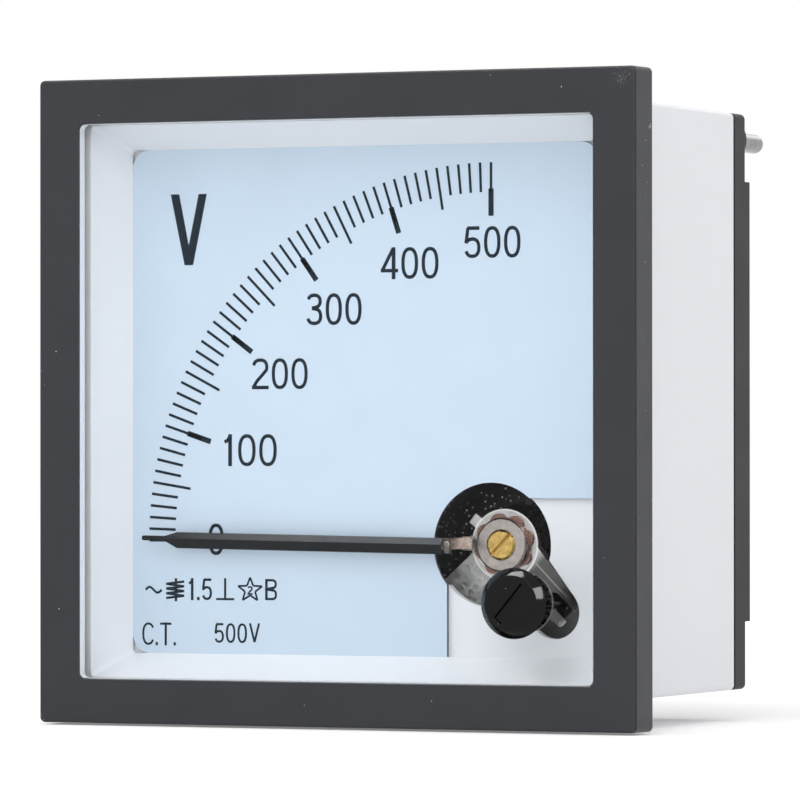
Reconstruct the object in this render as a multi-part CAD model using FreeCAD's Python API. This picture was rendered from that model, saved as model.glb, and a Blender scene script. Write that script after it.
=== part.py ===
import FreeCAD, Part
import math
import os

# Square analog panel meter, 72 mm face, moving-iron movement with a 90 degree scale.
# Millimetres. X to the right seen from the front, Y into the panel, Z up.
# The origin is the centre of the bezel's back face, which seats on the panel.

# Bezel
FACE = 72.0
FACE_DRAFT = 0.05
FACE_CORNER = 0.6
FACE_EDGE_ROUND = 0.25
OPENING = 62.08
OPENING_CORNER = 0.7
BEZEL_LIP = 1.3
BEZEL_WALL = 2.4
CATCH_DEPTH = 0.35
CATCH_REACH = 0.6
CATCH_LENGTH = 14.0

# Window pane
WINDOW_RIM = 1.5
WINDOW_SINK = 0.1
WINDOW_FIT = 0.1
INSERT_GAP = 0.2

# Dial tray
TRAY_FLANGE = 0.68
TRAY_MOUTH = 61.8
TRAY_WALL = 0.9
TRAY_FLOOR = 1.0
TRAY_CORNER = 0.5
DIAL_DEPTH = 3.5

# Dial plate
DIAL = 56.6
DIAL_THICKNESS = 0.5
DIAL_CORNER = 2.0
DIAL_GAP = 0.05
DIAL_CUT_X = 10.25
DIAL_CUT_Z = -10.76

# Opening over the movement: a round hole that runs out into a lobe for the fork
EYE_RADIUS = 6.9
LOBE_RADIUS = 2.9
LOBE_DISTANCE = 10.4
EYE_NECK_ANGLE = 31.0
EYE_RELIEF = 1.2

# Case
CASE = 65.4
CASE_CORNER = 0.6
CASE_WALL = 1.6
CASE_FLANGE = 0.9
CASE_LENGTH = 33.4
CASE_MOUTH_LENGTH = 1.55
BOSS_RADIUS = 2.9
BOSS_LENGTH = 14.0
STUD_INSET = 2.9
SCREW_INSET = 4.2

# How cutters and joined forms overlap, and how near counts as the same place
OVERRUN = 1.0
EMBED = 0.1
NEAR = 1e-4

# Rear cover
COVER_THICKNESS = 4.2
COVER_EDGE_ROUND = 0.7
COVER_WALL = 2.2
SEAM_DEPTH = 0.4
SEAM_HEIGHT = 0.45
BAND_RISE = 1.3
BAND_HEIGHT = 50.0
BAND_EDGE_ROUND = 0.4
BAND_SIDE_WALL = 3.0
SPIGOT_DEPTH = 1.5
SPIGOT_WALL = 1.2
SPIGOT_LENGTH = 46.0
PAD_RADIUS = 2.9
PAD_RISE = 0.4
PAD_SLOPE = 1.2

# Mounting studs and cover screws, on opposite diagonals
STUD_RADIUS = 1.1
STUD_SHANK_RADIUS = 1.4
STUD_REACH = 10.4
STUD_GRIP = 10.0
STUD_TIP_ROUND = 0.8
SCREW_RADIUS = 1.4
SCREW_GRIP = 8.0
SCREW_HEAD_RADIUS = 2.3
SCREW_HEAD = 1.2
SCREW_RECESS = 1.4
SCREW_CROSS = 2.6
SCREW_CROSS_WIDTH = 0.6
SCREW_CROSS_DEPTH = 0.7
HOLE_GAP = 0.15

# Terminals
TERMINAL_SPACING = 26.0
TERMINAL_RADIUS = 2.0
TERMINAL_REACH = 10.0
TERMINAL_PILOT_RADIUS = 1.6
TERMINAL_PILOT = 4.0
TERMINAL_CHAMFER = 0.4
TERMINAL_HEAD_FLATS = 7.0
TERMINAL_HEAD = 2.8
TAG_THICKNESS = 0.5
TAG_RADIUS = 3.8
TAG_TAIL = 9.0
TAG_TAIL_WIDTH = 2.4
WASHER_RADIUS = 4.5
WASHER_THICKNESS = 0.8
SPRING_WASHER_RADIUS = 3.8
SPRING_WASHER_THICKNESS = 1.0
SPRING_WASHER_SLIT = 0.5
NUT_FLATS = 7.0
NUT_HEIGHT = 3.2
NUT_CHAMFER = 0.5

# Series resistor on the cover's cradle
RESISTOR_RADIUS = 3.2
RESISTOR_LENGTH = 24.0
RESISTOR_CAP = 3.0
RESISTOR_CAP_STEP = 0.25
RESISTOR_Z = 15.0
RESISTOR_HEIGHT = 8.0
CRADLE_SPACING = 14.0
CRADLE_WALL = 1.4
CRADLE_HALF_WIDTH = 4.4
LEAD_RADIUS = 0.4
LEAD_BEND = 1.5
LEAD_REACH = 3.2
LEAD_SPREAD = 2.0

# Movement axis and zero adjuster, seen from the front
AXIS_X = 15.57
AXIS_Z = -15.95
ADJUSTER_DISTANCE = 8.7
ADJUSTER_ANGLE = -45.0

# Front bearing
SCREW_SET_BACK = 1.0
JEWEL_SCREW_RADIUS = 1.7
JEWEL_SCREW_LENGTH = 3.3
JEWEL_SCREW_CHAMFER = 0.25
JEWEL_SLOT_WIDTH = 0.35
JEWEL_SLOT_DEPTH = 0.5
JEWEL_SLOT_ANGLE = 45.0
THREAD_GAP = 0.02
SCREW_PROUD = 0.25
RING_NUT_RADIUS = 3.0
RING_NUT_HEIGHT = 0.75
BUSH_RADIUS = 2.25
BUSH_RIVET_RADIUS = 2.6
BUSH_RIVET_HEIGHT = 0.3
JEWEL_RADIUS = 0.8
JEWEL_HEIGHT = 0.9
CUP_RADIUS = 0.5
CUP_DEPTH = 0.6
LOBED_WASHER_RADIUS = 3.05
LOBED_WASHER_LOBE = 0.5
LOBED_WASHER_LOBES = 8
LOBED_WASHER_ANGLE = 15.0
LOBED_WASHER_THICKNESS = 0.25
SLIDING_GAP = 0.05

# Regulator: a disc with a fork to the adjuster and a tail that holds the hairspring
REGULATOR_RADIUS = 4.0
REGULATOR_THICKNESS = 0.5
FORK_ROOT_WIDTH = 5.4
FORK_TIP_WIDTH = 3.6
FORK_REACH = 11.2
FORK_SLOT_START = 7.7
FORK_GAP = 0.12
TAIL_ANGLE = 142.5
TAIL_WIDTH = 1.3
TAIL_REACH = 4.9

# Hairspring
SPRING_GAP = 0.2
SPRING_HEIGHT = 0.4
SPRING_STRIP = 0.12
SPRING_TURNS = 4.5
SPRING_INNER = 1.1
SPRING_OUTER = 3.4

# Galvanised movement frame
FRAME_SHEET = 1.0
BRIDGE_LEFT = 2.06
BRIDGE_LEFT_ANGLE = 222.0
BRIDGE_RIGHT = 2.9
BRIDGE_RIGHT_ANGLE = 308.0
BRIDGE_TOP_ROUND = 2.2
BRIDGE_HALF_WIDTH = 13.2
BRIDGE_NOTCH_GAP = 0.8
BRIDGE_SHOULDER = 1.0
FRAME_BEND = 0.9
WEB_HALF_WIDTH = 7.0
WEB_DROP = 14.25
FRAME_LUG_X = 11.0
FRAME_LUG_Z = 11.4
LUG_BOSS_RADIUS = 2.2
LUG_SCREW_RADIUS = 0.9
LUG_SCREW_BITE = 2.3
LUG_HOLE_SPARE = 0.3
LUG_SCREW_HEAD_RADIUS = 1.7
LUG_SCREW_HEAD = 1.2
REAR_LIMB_HALF_WIDTH = 5.5
REAR_LIMB_RISE = 12.6

# Coil
FLANGE_GAP = 3.75
BOBBIN_FLANGE = 1.0
BOBBIN_RADIUS = 13.0
BOBBIN_BORE = 4.6
BOBBIN_TUBE_WALL = 0.8
BOBBIN_FOOT_HALF_WIDTH = 6.0
WINDING_RADIUS = 12.2
WINDING_GAP = 0.03
COLLAR_INNER = 8.0
COLLAR_WALL = 0.9
COLLAR_START_ANGLE = -14.0
COLLAR_SWEEP = 211.0
STOP_RADIUS = 0.5
STOP_DISTANCE = 5.2
STOP_LENGTH = 3.0

# Moving system
SPINDLE_RADIUS = 0.5
PIVOT_LENGTH = 0.7
PIVOT_TIP_RADIUS = 0.06
PIVOT_SHAKE = 0.1
HUB_RADIUS = 1.3
HUB_LENGTH = 1.85
COLLET_RADIUS = 1.0
STEM_SHEET = 0.3
STEM_GAP = 0.15
STEM_DISC_RADIUS = 1.6
STEM_ARM_WIDTH = 1.6
STEM_RUN_WIDTH = 1.3
STEM_DISTANCE = 6.35
STEM_LUG_REACH = 10.5
STEM_LUG_WIDTH = 0.9
POINTER_REST = 0.86
POINTER_RIDGE_Y = 1.1
POINTER_ROOF = 0.65
POINTER_SHEET = 0.18
POINTER_UPPER = 0.72
POINTER_LOWER = 1.08
POINTER_START = 5.1
POINTER_SHOULDER = 37.55
POINTER_NECK = 38.9
POINTER_TIP = 41.72
POINTER_TIP_WIDTH = 0.55
POINTER_TIP_THICKNESS = 0.3
TRAVEL_UP = 92.5
TRAVEL_DOWN = 3.0
ADJUSTING_SWING = 3.6
STOP_MARGIN = 1.0
WEIGHT_OUTER = 6.2
WEIGHT_SWEEP = 84.0
WEIGHT_ANGLE = -4.9
WEIGHT_THICKNESS = 1.7

# Iron vanes in the coil's bore
FIXED_IRON_SHEET = 0.4
FIXED_IRON_SWEEP = 120.0
FIXED_IRON_START = 150.0
FIXED_IRON_GAP = 0.05
MOVING_IRON_RADIUS = 3.0
MOVING_IRON_SHEET = 0.35
MOVING_IRON_SWEEP = 60.0
MOVING_IRON_START = 215.0
IRON_END_GAP = 1.0
CARRIER_SHEET = 0.3

# Eddy-current damping
VANE_BEHIND_FLANGE = 1.4
VANE_THICKNESS = 0.25
VANE_RADIUS = 10.6
VANE_START = 65.0
VANE_SWEEP = 140.0
VANE_HUB_RADIUS = 1.2
VANE_HUB_LENGTH = 1.0
MAGNET_AIR_GAP = 0.4
MAGNET_ANGLE = 90.0
MAGNET_INNER = 7.6
MAGNET_OUTER = 12.4
MAGNET_WIDTH = 5.0
MAGNET_YOKE = 1.3
MAGNET_JAW = 1.0
REAR_NUT_HEIGHT = 1.4
REAR_NUT_FLATS = 5.5
REAR_SCREW_AHEAD = 1.1
REAR_SCREW_BEHIND = 2.6
MOVEMENT_CLEARANCE = 4.4

# Zero adjuster in the window
ADJUSTER_HEAD_RADIUS = 4.0
ADJUSTER_FACE_RADIUS = 3.05
ADJUSTER_HEAD = 1.0
ADJUSTER_HEAD_STEP = 0.12
ADJUSTER_GAP = 0.06
ADJUSTER_SHANK_RADIUS = 2.5
ADJUSTER_SHANK_GAP = 0.1
ADJUSTER_SHANK_BACK = 1.3
ADJUSTER_SLOT_WIDTH = 1.1
ADJUSTER_SLOT_LENGTH = 4.9
ADJUSTER_SLOT_DEPTH = 0.7
ADJUSTER_SLOT_ANGLE = 50.0
ECCENTRICITY = 0.6
ECCENTRIC_PIN_RADIUS = 0.6
ECCENTRIC_PIN_PAST_FORK = 0.4
RETAINER_RADIUS = 3.3
RETAINER_THICKNESS = 0.4
RETAINER_SLITS = 4
RETAINER_SLIT_WIDTH = 0.5

# Places worked out from the sizes above, from the panel seat forwards
AXIS = (AXIS_X, AXIS_Z)
CENTRE = (0.0, 0.0)
CASE_FLANGE_BACK = -CATCH_DEPTH
CASE_FLANGE_FRONT = CASE_FLANGE_BACK - CASE_FLANGE
TRAY_FRONT = CASE_FLANGE_FRONT - TRAY_FLANGE
WINDOW_FRONT = TRAY_FRONT - WINDOW_RIM
BEZEL_FRONT = WINDOW_FRONT - BEZEL_LIP
PANE_FACE = BEZEL_FRONT + WINDOW_SINK
REBATE_HALF = FACE / 2 - BEZEL_WALL
INSERT_HALF = REBATE_HALF - INSERT_GAP
CASE_HALF = CASE / 2
CASE_INNER = CASE_HALF - CASE_WALL
DIAL_HALF = DIAL / 2
DIAL_BACK = DIAL_DEPTH + DIAL_THICKNESS
FLOOR_BACK = DIAL_BACK + TRAY_FLOOR

# Places along the rear cover
COVER_FRONT = CASE_LENGTH
COVER_BACK = COVER_FRONT + COVER_THICKNESS
BAND_BACK = COVER_BACK + BAND_RISE
BAND_INSIDE = BAND_BACK - COVER_WALL
BOSS_FRONT = COVER_FRONT - BOSS_LENGTH
RESISTOR_Y = BAND_INSIDE - RESISTOR_HEIGHT

# Places along the movement's axis, from its front screw backwards
SCREW_FACE = FLOOR_BACK + SCREW_SET_BACK
RING_NUT_FRONT = SCREW_FACE + SCREW_PROUD
RING_NUT_BACK = RING_NUT_FRONT + RING_NUT_HEIGHT
LOBED_WASHER_BACK = RING_NUT_BACK + LOBED_WASHER_THICKNESS
REGULATOR_FRONT = LOBED_WASHER_BACK + SLIDING_GAP
REGULATOR_BACK = REGULATOR_FRONT + REGULATOR_THICKNESS
BRIDGE_FRONT = REGULATOR_BACK + SLIDING_GAP
BRIDGE_BACK = BRIDGE_FRONT + FRAME_SHEET
SCREW_BACK = max(SCREW_FACE + JEWEL_SCREW_LENGTH, BRIDGE_BACK + BUSH_RIVET_HEIGHT)
SPRING_FRONT = SCREW_BACK + SPRING_GAP
SPRING_BACK = SPRING_FRONT + SPRING_HEIGHT
STEM_FRONT = SPRING_BACK + STEM_GAP
STEM_BACK = STEM_FRONT + STEM_SHEET
HUB_BACK = STEM_BACK + HUB_LENGTH
FLANGE_FRONT = BRIDGE_BACK + FLANGE_GAP
WINDING_FRONT = FLANGE_FRONT + BOBBIN_FLANGE

# The rear end of the movement stands off the cover, and the winding fills what is left between
REAR_SCREW_BACK = BAND_INSIDE - MOVEMENT_CLEARANCE
REAR_LIMB_BACK = REAR_SCREW_BACK - REAR_SCREW_BEHIND
REAR_LIMB_FRONT = REAR_LIMB_BACK - FRAME_SHEET
REAR_SCREW_FRONT = REAR_LIMB_FRONT - REAR_SCREW_AHEAD
VANE_BACK = REAR_LIMB_FRONT - MAGNET_JAW - MAGNET_AIR_GAP
VANE_FRONT = VANE_BACK - VANE_THICKNESS
BOBBIN_BACK = VANE_FRONT - VANE_BEHIND_FLANGE
WINDING_BACK = BOBBIN_BACK - BOBBIN_FLANGE
WINDING_LENGTH = WINDING_BACK - WINDING_FRONT
PIVOT_FRONT = SCREW_BACK - CUP_DEPTH + PIVOT_SHAKE
PIVOT_BACK = REAR_SCREW_FRONT + CUP_DEPTH - PIVOT_SHAKE


def vec(x, y, z):
    return FreeCAD.Vector(x, y, z)


def polar(centre, distance, degrees):
    """Point at a distance and an angle from a centre, counter-clockwise from +X seen from the front."""
    angle = math.radians(degrees)
    return (centre[0] + distance * math.cos(angle), centre[1] + distance * math.sin(angle))


def turn(shape, centre, degrees):
    """Turn a shape counter-clockwise seen from the front, about an axis through centre."""
    turned_shape = shape.copy()
    turned_shape.rotate(vec(centre[0], 0, centre[1]), vec(0, -1, 0), degrees)
    return turned_shape


def block(x0, x1, y0, y1, z0, z1):
    return Part.makeBox(x1 - x0, y1 - y0, z1 - z0, vec(x0, y0, z0))


def prism(points, y0, y1):
    """Straight-sided outline in XZ, drawn out from y0 to y1."""
    corners = [vec(x, y0, z) for x, z in points]
    face = Part.Face(Part.makePolygon(corners + corners[:1]))
    return face.extrude(vec(0, y1 - y0, 0))


def rod(centre, radius, y0, y1):
    return Part.makeCylinder(radius, y1 - y0, vec(centre[0], y0, centre[1]), vec(0, 1, 0))


def hole(centre, radius, y0, y1):
    """Round cutter that runs out past both faces."""
    return rod(centre, radius, y0 - OVERRUN, y1 + OVERRUN)


def tube(centre, outer, inner, y0, y1):
    return rod(centre, outer, y0, y1).cut(hole(centre, inner, y0, y1))


def turned(centre, profile):
    """Solid of revolution from (radius, y) points, about a line along Y through centre."""
    points = [vec(centre[0] + radius, y, centre[1]) for radius, y in profile]
    face = Part.Face(Part.makePolygon(points + points[:1]))
    return face.revolve(vec(centre[0], 0, centre[1]), vec(0, 1, 0), 360)


def rounded_outline(half, corner, y):
    """Square wire with round corners, at height y."""
    inner = half - corner
    reach = corner * math.sqrt(0.5)
    edges = []
    for sx, sz in ((1, 1), (-1, 1), (-1, -1), (1, -1)):
        start = vec(sx * half, y, sz * inner)
        end = vec(sx * inner, y, sz * half)
        if sx * sz < 0:
            start, end = end, start
        middle = vec(sx * (inner + reach), y, sz * (inner + reach))
        edges.append(Part.Arc(start, middle, end).toShape())
        next_start = vec(-sx * inner, y, sz * half) if sx * sz > 0 else vec(sx * half, y, -sz * inner)
        edges.append(Part.LineSegment(end, next_start).toShape())
    return Part.Wire(edges)


def square(half, corner, y0, y1):
    return Part.Face(rounded_outline(half, corner, y0)).extrude(vec(0, y1 - y0, 0))


def tapered(half0, y0, half1, y1, corner):
    """Square block with round corners whose half width goes from half0 at y0 to half1 at y1."""
    ends = [rounded_outline(half0, corner, y0), rounded_outline(half1, corner, y1)]
    return Part.makeLoft(ends, True, True)


def sector(centre, outer, inner, start, sweep, y0, y1):
    """Part of a ring between two angles, counter-clockwise seen from the front."""
    points = [vec(centre[0] + radius, y, centre[1]) for radius, y in
              ((inner, y0), (outer, y0), (outer, y1), (inner, y1), (inner, y0))]
    ring = Part.Face(Part.makePolygon(points)).revolve(vec(centre[0], 0, centre[1]), vec(0, -1, 0), sweep)
    return turn(ring, centre, start)


def at_y(shape, y):
    """Edges that lie wholly in the plane at y."""
    return [e for e in shape.Edges if max(abs(e.BoundBox.YMin - y), abs(e.BoundBox.YMax - y)) < NEAR]


def hexagon(centre, flats, y0, y1):
    corner = flats / math.sqrt(3)
    return prism([polar(centre, corner, 60 * i + 30) for i in range(6)], y0, y1)


def hex_nut(centre, flats, bore, y0, y1, chamfer):
    """Hexagon nut whose corners are turned off at both faces."""
    corner = flats / math.sqrt(3)
    barrel = turned(centre, [
        (0, y0), (corner - chamfer, y0), (corner, y0 + chamfer / 2),
        (corner, y1 - chamfer / 2), (corner - chamfer, y1), (0, y1)])
    return hexagon(centre, flats, y0, y1).common(barrel).cut(hole(centre, bore, y0, y1))


def slot_cutter(centre, width, length, degrees, y0, y1):
    half = width / 2
    bar = block(centre[0] - length, centre[0] + length, y0, y1, centre[1] - half, centre[1] + half)
    return turn(bar, centre, degrees)


def stud_places():
    """Upper right and lower left corner of the case."""
    place = CASE_HALF - STUD_INSET
    return [(place, place), (-place, -place)]


def screw_places():
    """Lower right and upper left corner of the case, a little further in than the studs."""
    place = CASE_HALF - SCREW_INSET
    return [(place, -place), (-place, place)]


def terminal_places():
    return [(-TERMINAL_SPACING / 2, 0.0), (TERMINAL_SPACING / 2, 0.0)]


def adjuster_axis():
    return polar(AXIS, ADJUSTER_DISTANCE, ADJUSTER_ANGLE)


def eye(growth, y0, y1):
    """Keyhole opening: the eye round the bearing and, past a narrower neck, the lobe round the adjuster's pin."""
    lobe = polar(AXIS, LOBE_DISTANCE, ADJUSTER_ANGLE)
    big = EYE_RADIUS + growth
    small = LOBE_RADIUS + growth
    along, across = polar((-LOBE_DISTANCE, 0), big, EYE_NECK_ANGLE)
    tangent = math.degrees(math.atan2(across, along) - math.acos(small / math.hypot(along, across)))
    neck = prism([
        polar(AXIS, big, ADJUSTER_ANGLE + EYE_NECK_ANGLE), polar(lobe, small, ADJUSTER_ANGLE + tangent),
        polar(lobe, small, ADJUSTER_ANGLE - tangent), polar(AXIS, big, ADJUSTER_ANGLE - EYE_NECK_ANGLE)], y0, y1)
    return rod(AXIS, big, y0, y1).fuse([rod(lobe, small, y0, y1), neck])


def dial_cut_away(y0, y1):
    """Lower right corner that the dial plate leaves open, below and to the right of the eye."""
    below = block(DIAL_CUT_X, INSERT_HALF * 2, y0, y1, -INSERT_HALF * 2, AXIS_Z)
    return below.fuse(block(AXIS_X, INSERT_HALF * 2, y0, y1, -INSERT_HALF * 2, DIAL_CUT_Z))


def bezel():
    body = tapered(FACE / 2, 0, FACE / 2 - FACE_DRAFT, BEZEL_FRONT, FACE_CORNER)
    body = body.makeFillet(FACE_EDGE_ROUND, at_y(body, BEZEL_FRONT))
    body = body.cut(square(OPENING / 2, OPENING_CORNER, BEZEL_FRONT - OVERRUN, OVERRUN))
    body = body.cut(square(REBATE_HALF, FACE_CORNER, WINDOW_FRONT, OVERRUN))
    root = REBATE_HALF + EMBED
    tip = REBATE_HALF - CATCH_REACH
    profile = [(root, CASE_FLANGE_BACK), (tip, CASE_FLANGE_BACK), (REBATE_HALF, 0), (root, 0)]
    corners = [vec(x, y, -CATCH_LENGTH / 2) for x, y in profile]
    side = Part.Face(Part.makePolygon(corners + corners[:1]))
    ramp = side.extrude(vec(0, 0, CATCH_LENGTH))
    for i in range(4):
        body = body.fuse(turn(ramp, CENTRE, 90 * i))
    return body.removeSplitter()


def window():
    """Thick pane that fills the bezel's opening, with a rim behind the lip and a hole for the adjuster."""
    pane = square(INSERT_HALF, FACE_CORNER, WINDOW_FRONT, TRAY_FRONT)
    pane = pane.fuse(square(OPENING / 2 - WINDOW_FIT, OPENING_CORNER, PANE_FACE, TRAY_FRONT))
    bore = ADJUSTER_SHANK_RADIUS + ADJUSTER_SHANK_GAP
    return pane.cut(hole(adjuster_axis(), bore, PANE_FACE, TRAY_FRONT)).removeSplitter()


def lug_places():
    return [(AXIS_X + side * FRAME_LUG_X, AXIS_Z - FRAME_LUG_Z) for side in (-1, 1)]


def dial_tray():
    """Funnel of four sloping walls round the dial, with a floor, a flange and two bosses behind."""
    mouth = TRAY_MOUTH / 2
    body = square(INSERT_HALF, FACE_CORNER, TRAY_FRONT, CASE_FLANGE_FRONT)
    body = body.fuse(tapered(mouth + TRAY_WALL, TRAY_FRONT, DIAL_HALF + TRAY_WALL, DIAL_DEPTH, TRAY_CORNER))
    body = body.fuse(square(DIAL_HALF + TRAY_WALL, TRAY_CORNER, DIAL_DEPTH, FLOOR_BACK))
    body = body.cut(tapered(mouth, TRAY_FRONT, DIAL_HALF, DIAL_DEPTH, TRAY_CORNER))
    body = body.cut(square(DIAL_HALF + DIAL_GAP, TRAY_CORNER, DIAL_DEPTH, DIAL_BACK))
    before = DIAL_BACK - OVERRUN
    behind = FLOOR_BACK + OVERRUN
    relief = rod(AXIS, EYE_RADIUS + EYE_RELIEF, before, behind)
    relief = relief.cut(dial_cut_away(before - OVERRUN, behind + OVERRUN))
    body = body.cut(eye(0, before, behind).fuse(relief))
    depth = LUG_SCREW_BITE + LUG_HOLE_SPARE
    for place in lug_places():
        body = body.fuse(rod(place, LUG_BOSS_RADIUS, FLOOR_BACK, BRIDGE_FRONT))
        body = body.cut(rod(place, LUG_SCREW_RADIUS + THREAD_GAP, BRIDGE_FRONT - depth, BRIDGE_FRONT))
    return body.removeSplitter()


def dial_plate():
    plate = square(DIAL_HALF, DIAL_CORNER, DIAL_DEPTH, DIAL_BACK)
    plate = plate.cut(dial_cut_away(DIAL_DEPTH - OVERRUN, DIAL_BACK + OVERRUN))
    return plate.cut(hole(AXIS, EYE_RADIUS, DIAL_DEPTH, DIAL_BACK))


def corner_boss(place):
    """Boss in a corner of the case, sloped at its front end."""
    shoulder = BOSS_FRONT + BOSS_RADIUS
    return turned(place, [
        (0, BOSS_FRONT), (BOSS_RADIUS / 2, BOSS_FRONT), (BOSS_RADIUS, shoulder),
        (BOSS_RADIUS, COVER_FRONT), (0, COVER_FRONT)])


def case_shell():
    """Square box, open in front and behind, with a flange in front and four bosses for studs and screws."""
    outside = square(CASE_HALF, CASE_CORNER, CASE_FLANGE_FRONT, COVER_FRONT)
    body = outside.fuse(square(INSERT_HALF, FACE_CORNER, CASE_FLANGE_FRONT, CASE_FLANGE_BACK))
    mouth = TRAY_MOUTH / 2 + TRAY_WALL
    mouth_back = CASE_FLANGE_FRONT + CASE_MOUTH_LENGTH
    body = body.cut(tapered(mouth, CASE_FLANGE_FRONT, CASE_INNER, mouth_back, TRAY_CORNER))
    body = body.cut(square(CASE_INNER, TRAY_CORNER, mouth_back, COVER_FRONT + OVERRUN))
    bosses = [(place, STUD_SHANK_RADIUS, STUD_GRIP) for place in stud_places()]
    bosses += [(place, SCREW_RADIUS, SCREW_GRIP) for place in screw_places()]
    for place, radius, grip in bosses:
        body = body.fuse(corner_boss(place).common(outside))
        body = body.cut(rod(place, radius + THREAD_GAP, COVER_FRONT - grip, COVER_FRONT + OVERRUN))
    return body.removeSplitter()


def stud_pad(place):
    """Low round swelling of the cover round a stud."""
    sunk = COVER_BACK - COVER_EDGE_ROUND
    top = COVER_BACK + PAD_RISE
    return turned(place, [
        (0, sunk), (PAD_RADIUS, sunk), (PAD_RADIUS, COVER_BACK), (PAD_RADIUS - PAD_SLOPE / 2, top), (0, top)])


def cradle_rib(x):
    """Upright rib on the cover with a round saddle for the resistor."""
    left = x - CRADLE_WALL / 2
    bottom = RESISTOR_Z - CRADLE_HALF_WIDTH
    top = RESISTOR_Z + CRADLE_HALF_WIDTH
    rib = block(left, left + CRADLE_WALL, RESISTOR_Y, BAND_INSIDE + EMBED, bottom, top)
    start = vec(left - OVERRUN, RESISTOR_Y, RESISTOR_Z)
    return rib.cut(Part.makeCylinder(RESISTOR_RADIUS, CRADLE_WALL + 2 * OVERRUN, start, vec(1, 0, 0)))


def rear_cover():
    """Black back with a raised band for the terminals, a spigot inside the case and a resistor cradle."""
    body = square(CASE_HALF, CASE_CORNER, COVER_FRONT, COVER_BACK)
    body = body.makeFillet(COVER_EDGE_ROUND, at_y(body, COVER_BACK))
    band_half = BAND_HEIGHT / 2
    band = block(-CASE_HALF, CASE_HALF, COVER_BACK - COVER_EDGE_ROUND, BAND_BACK, -band_half, band_half)
    body = body.fuse(band.makeFillet(BAND_EDGE_ROUND, at_y(band, BAND_BACK)))
    for place in stud_places():
        body = body.fuse(stud_pad(place))
    seam = square(CASE_HALF + OVERRUN, CASE_CORNER, COVER_FRONT, COVER_FRONT + SEAM_HEIGHT)
    body = body.cut(seam.cut(square(CASE_HALF - SEAM_DEPTH, CASE_CORNER, COVER_FRONT - OVERRUN, COVER_BACK)))
    across = CASE_INNER - BAND_SIDE_WALL
    up = band_half - BAND_SIDE_WALL
    body = body.cut(block(-across, across, COVER_FRONT - OVERRUN, BAND_INSIDE, -up, up))
    outer = CASE_INNER - INSERT_GAP
    half = SPIGOT_LENGTH / 2
    for i in range(4):
        wall = block(outer - SPIGOT_WALL, outer, COVER_FRONT - SPIGOT_DEPTH, COVER_FRONT, -half, half)
        body = body.fuse(turn(wall, CENTRE, 90 * i))
    for side in (-1, 1):
        body = body.fuse(cradle_rib(side * CRADLE_SPACING / 2))
    for place in terminal_places():
        body = body.cut(hole(place, TERMINAL_RADIUS + HOLE_GAP, COVER_FRONT, BAND_BACK))
    for place in stud_places():
        body = body.cut(hole(place, STUD_SHANK_RADIUS + THREAD_GAP, COVER_FRONT, BAND_BACK))
    for place in screw_places():
        body = body.cut(hole(place, SCREW_RADIUS + HOLE_GAP, COVER_FRONT, BAND_BACK))
        body = body.cut(rod(place, SCREW_HEAD_RADIUS + HOLE_GAP, COVER_BACK - SCREW_RECESS, BAND_BACK))
    return body.removeSplitter()


def cover_screws():
    """Two cross-recess screws sunk in the cover, which reach the bosses on the other diagonal."""
    screws = []
    head_front = COVER_BACK - SCREW_RECESS
    head_back = head_front + SCREW_HEAD
    for place in screw_places():
        screw = rod(place, SCREW_RADIUS, COVER_FRONT - SCREW_GRIP + OVERRUN, head_front)
        head = rod(place, SCREW_HEAD_RADIUS, head_front, head_back)
        screw = screw.fuse(head.makeFillet(SCREW_HEAD / 3, at_y(head, head_back)))
        for angle in (45, 135):
            depth = head_back - SCREW_CROSS_DEPTH
            screw = screw.cut(slot_cutter(place, SCREW_CROSS_WIDTH, SCREW_CROSS / 2, angle, depth, COVER_BACK))
        screws.append(screw.removeSplitter())
    return Part.makeCompound(screws)


def mounting_studs():
    """Two studs on a diagonal: a stout shank sunk in the case, and a plain free end with a domed tip."""
    studs = []
    start = COVER_BACK + PAD_RISE
    end = start + STUD_REACH
    for place in stud_places():
        stud = rod(place, STUD_RADIUS, start, end)
        stud = stud.makeFillet(STUD_TIP_ROUND, at_y(stud, end))
        stud = stud.fuse(rod(place, STUD_SHANK_RADIUS, COVER_FRONT - STUD_GRIP, start))
        studs.append(stud.removeSplitter())
    return Part.makeCompound(studs)


def terminal_studs():
    """Two hexagon-headed studs, each turned down to a pilot at its free end so that a nut starts easily."""
    studs = []
    end = BAND_BACK + TERMINAL_REACH
    pilot = end - TERMINAL_PILOT
    for place in terminal_places():
        shank = turned(place, [
            (0, BAND_INSIDE - TAG_THICKNESS), (TERMINAL_RADIUS, BAND_INSIDE - TAG_THICKNESS),
            (TERMINAL_RADIUS, pilot), (TERMINAL_PILOT_RADIUS, pilot), (TERMINAL_PILOT_RADIUS, end - TERMINAL_CHAMFER),
            (TERMINAL_PILOT_RADIUS - TERMINAL_CHAMFER, end), (0, end)])
        head_back = BAND_INSIDE - TAG_THICKNESS
        head = hexagon(place, TERMINAL_HEAD_FLATS, head_back - TERMINAL_HEAD, head_back)
        studs.append(shank.fuse(head).removeSplitter())
    return Part.makeCompound(studs)


def solder_tags():
    """Ring tags under the stud heads, each with a tail towards the resistor side."""
    tags = []
    for place in terminal_places():
        front = BAND_INSIDE - TAG_THICKNESS
        ring = rod(place, TAG_RADIUS, front, BAND_INSIDE)
        tail = block(place[0] - TAG_TAIL_WIDTH / 2, place[0] + TAG_TAIL_WIDTH / 2, front, BAND_INSIDE,
                     place[1], place[1] + TAG_TAIL)
        tag = ring.fuse(tail).cut(hole(place, TERMINAL_RADIUS + THREAD_GAP, front, BAND_INSIDE))
        tags.append(tag.removeSplitter())
    return Part.makeCompound(tags)


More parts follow.
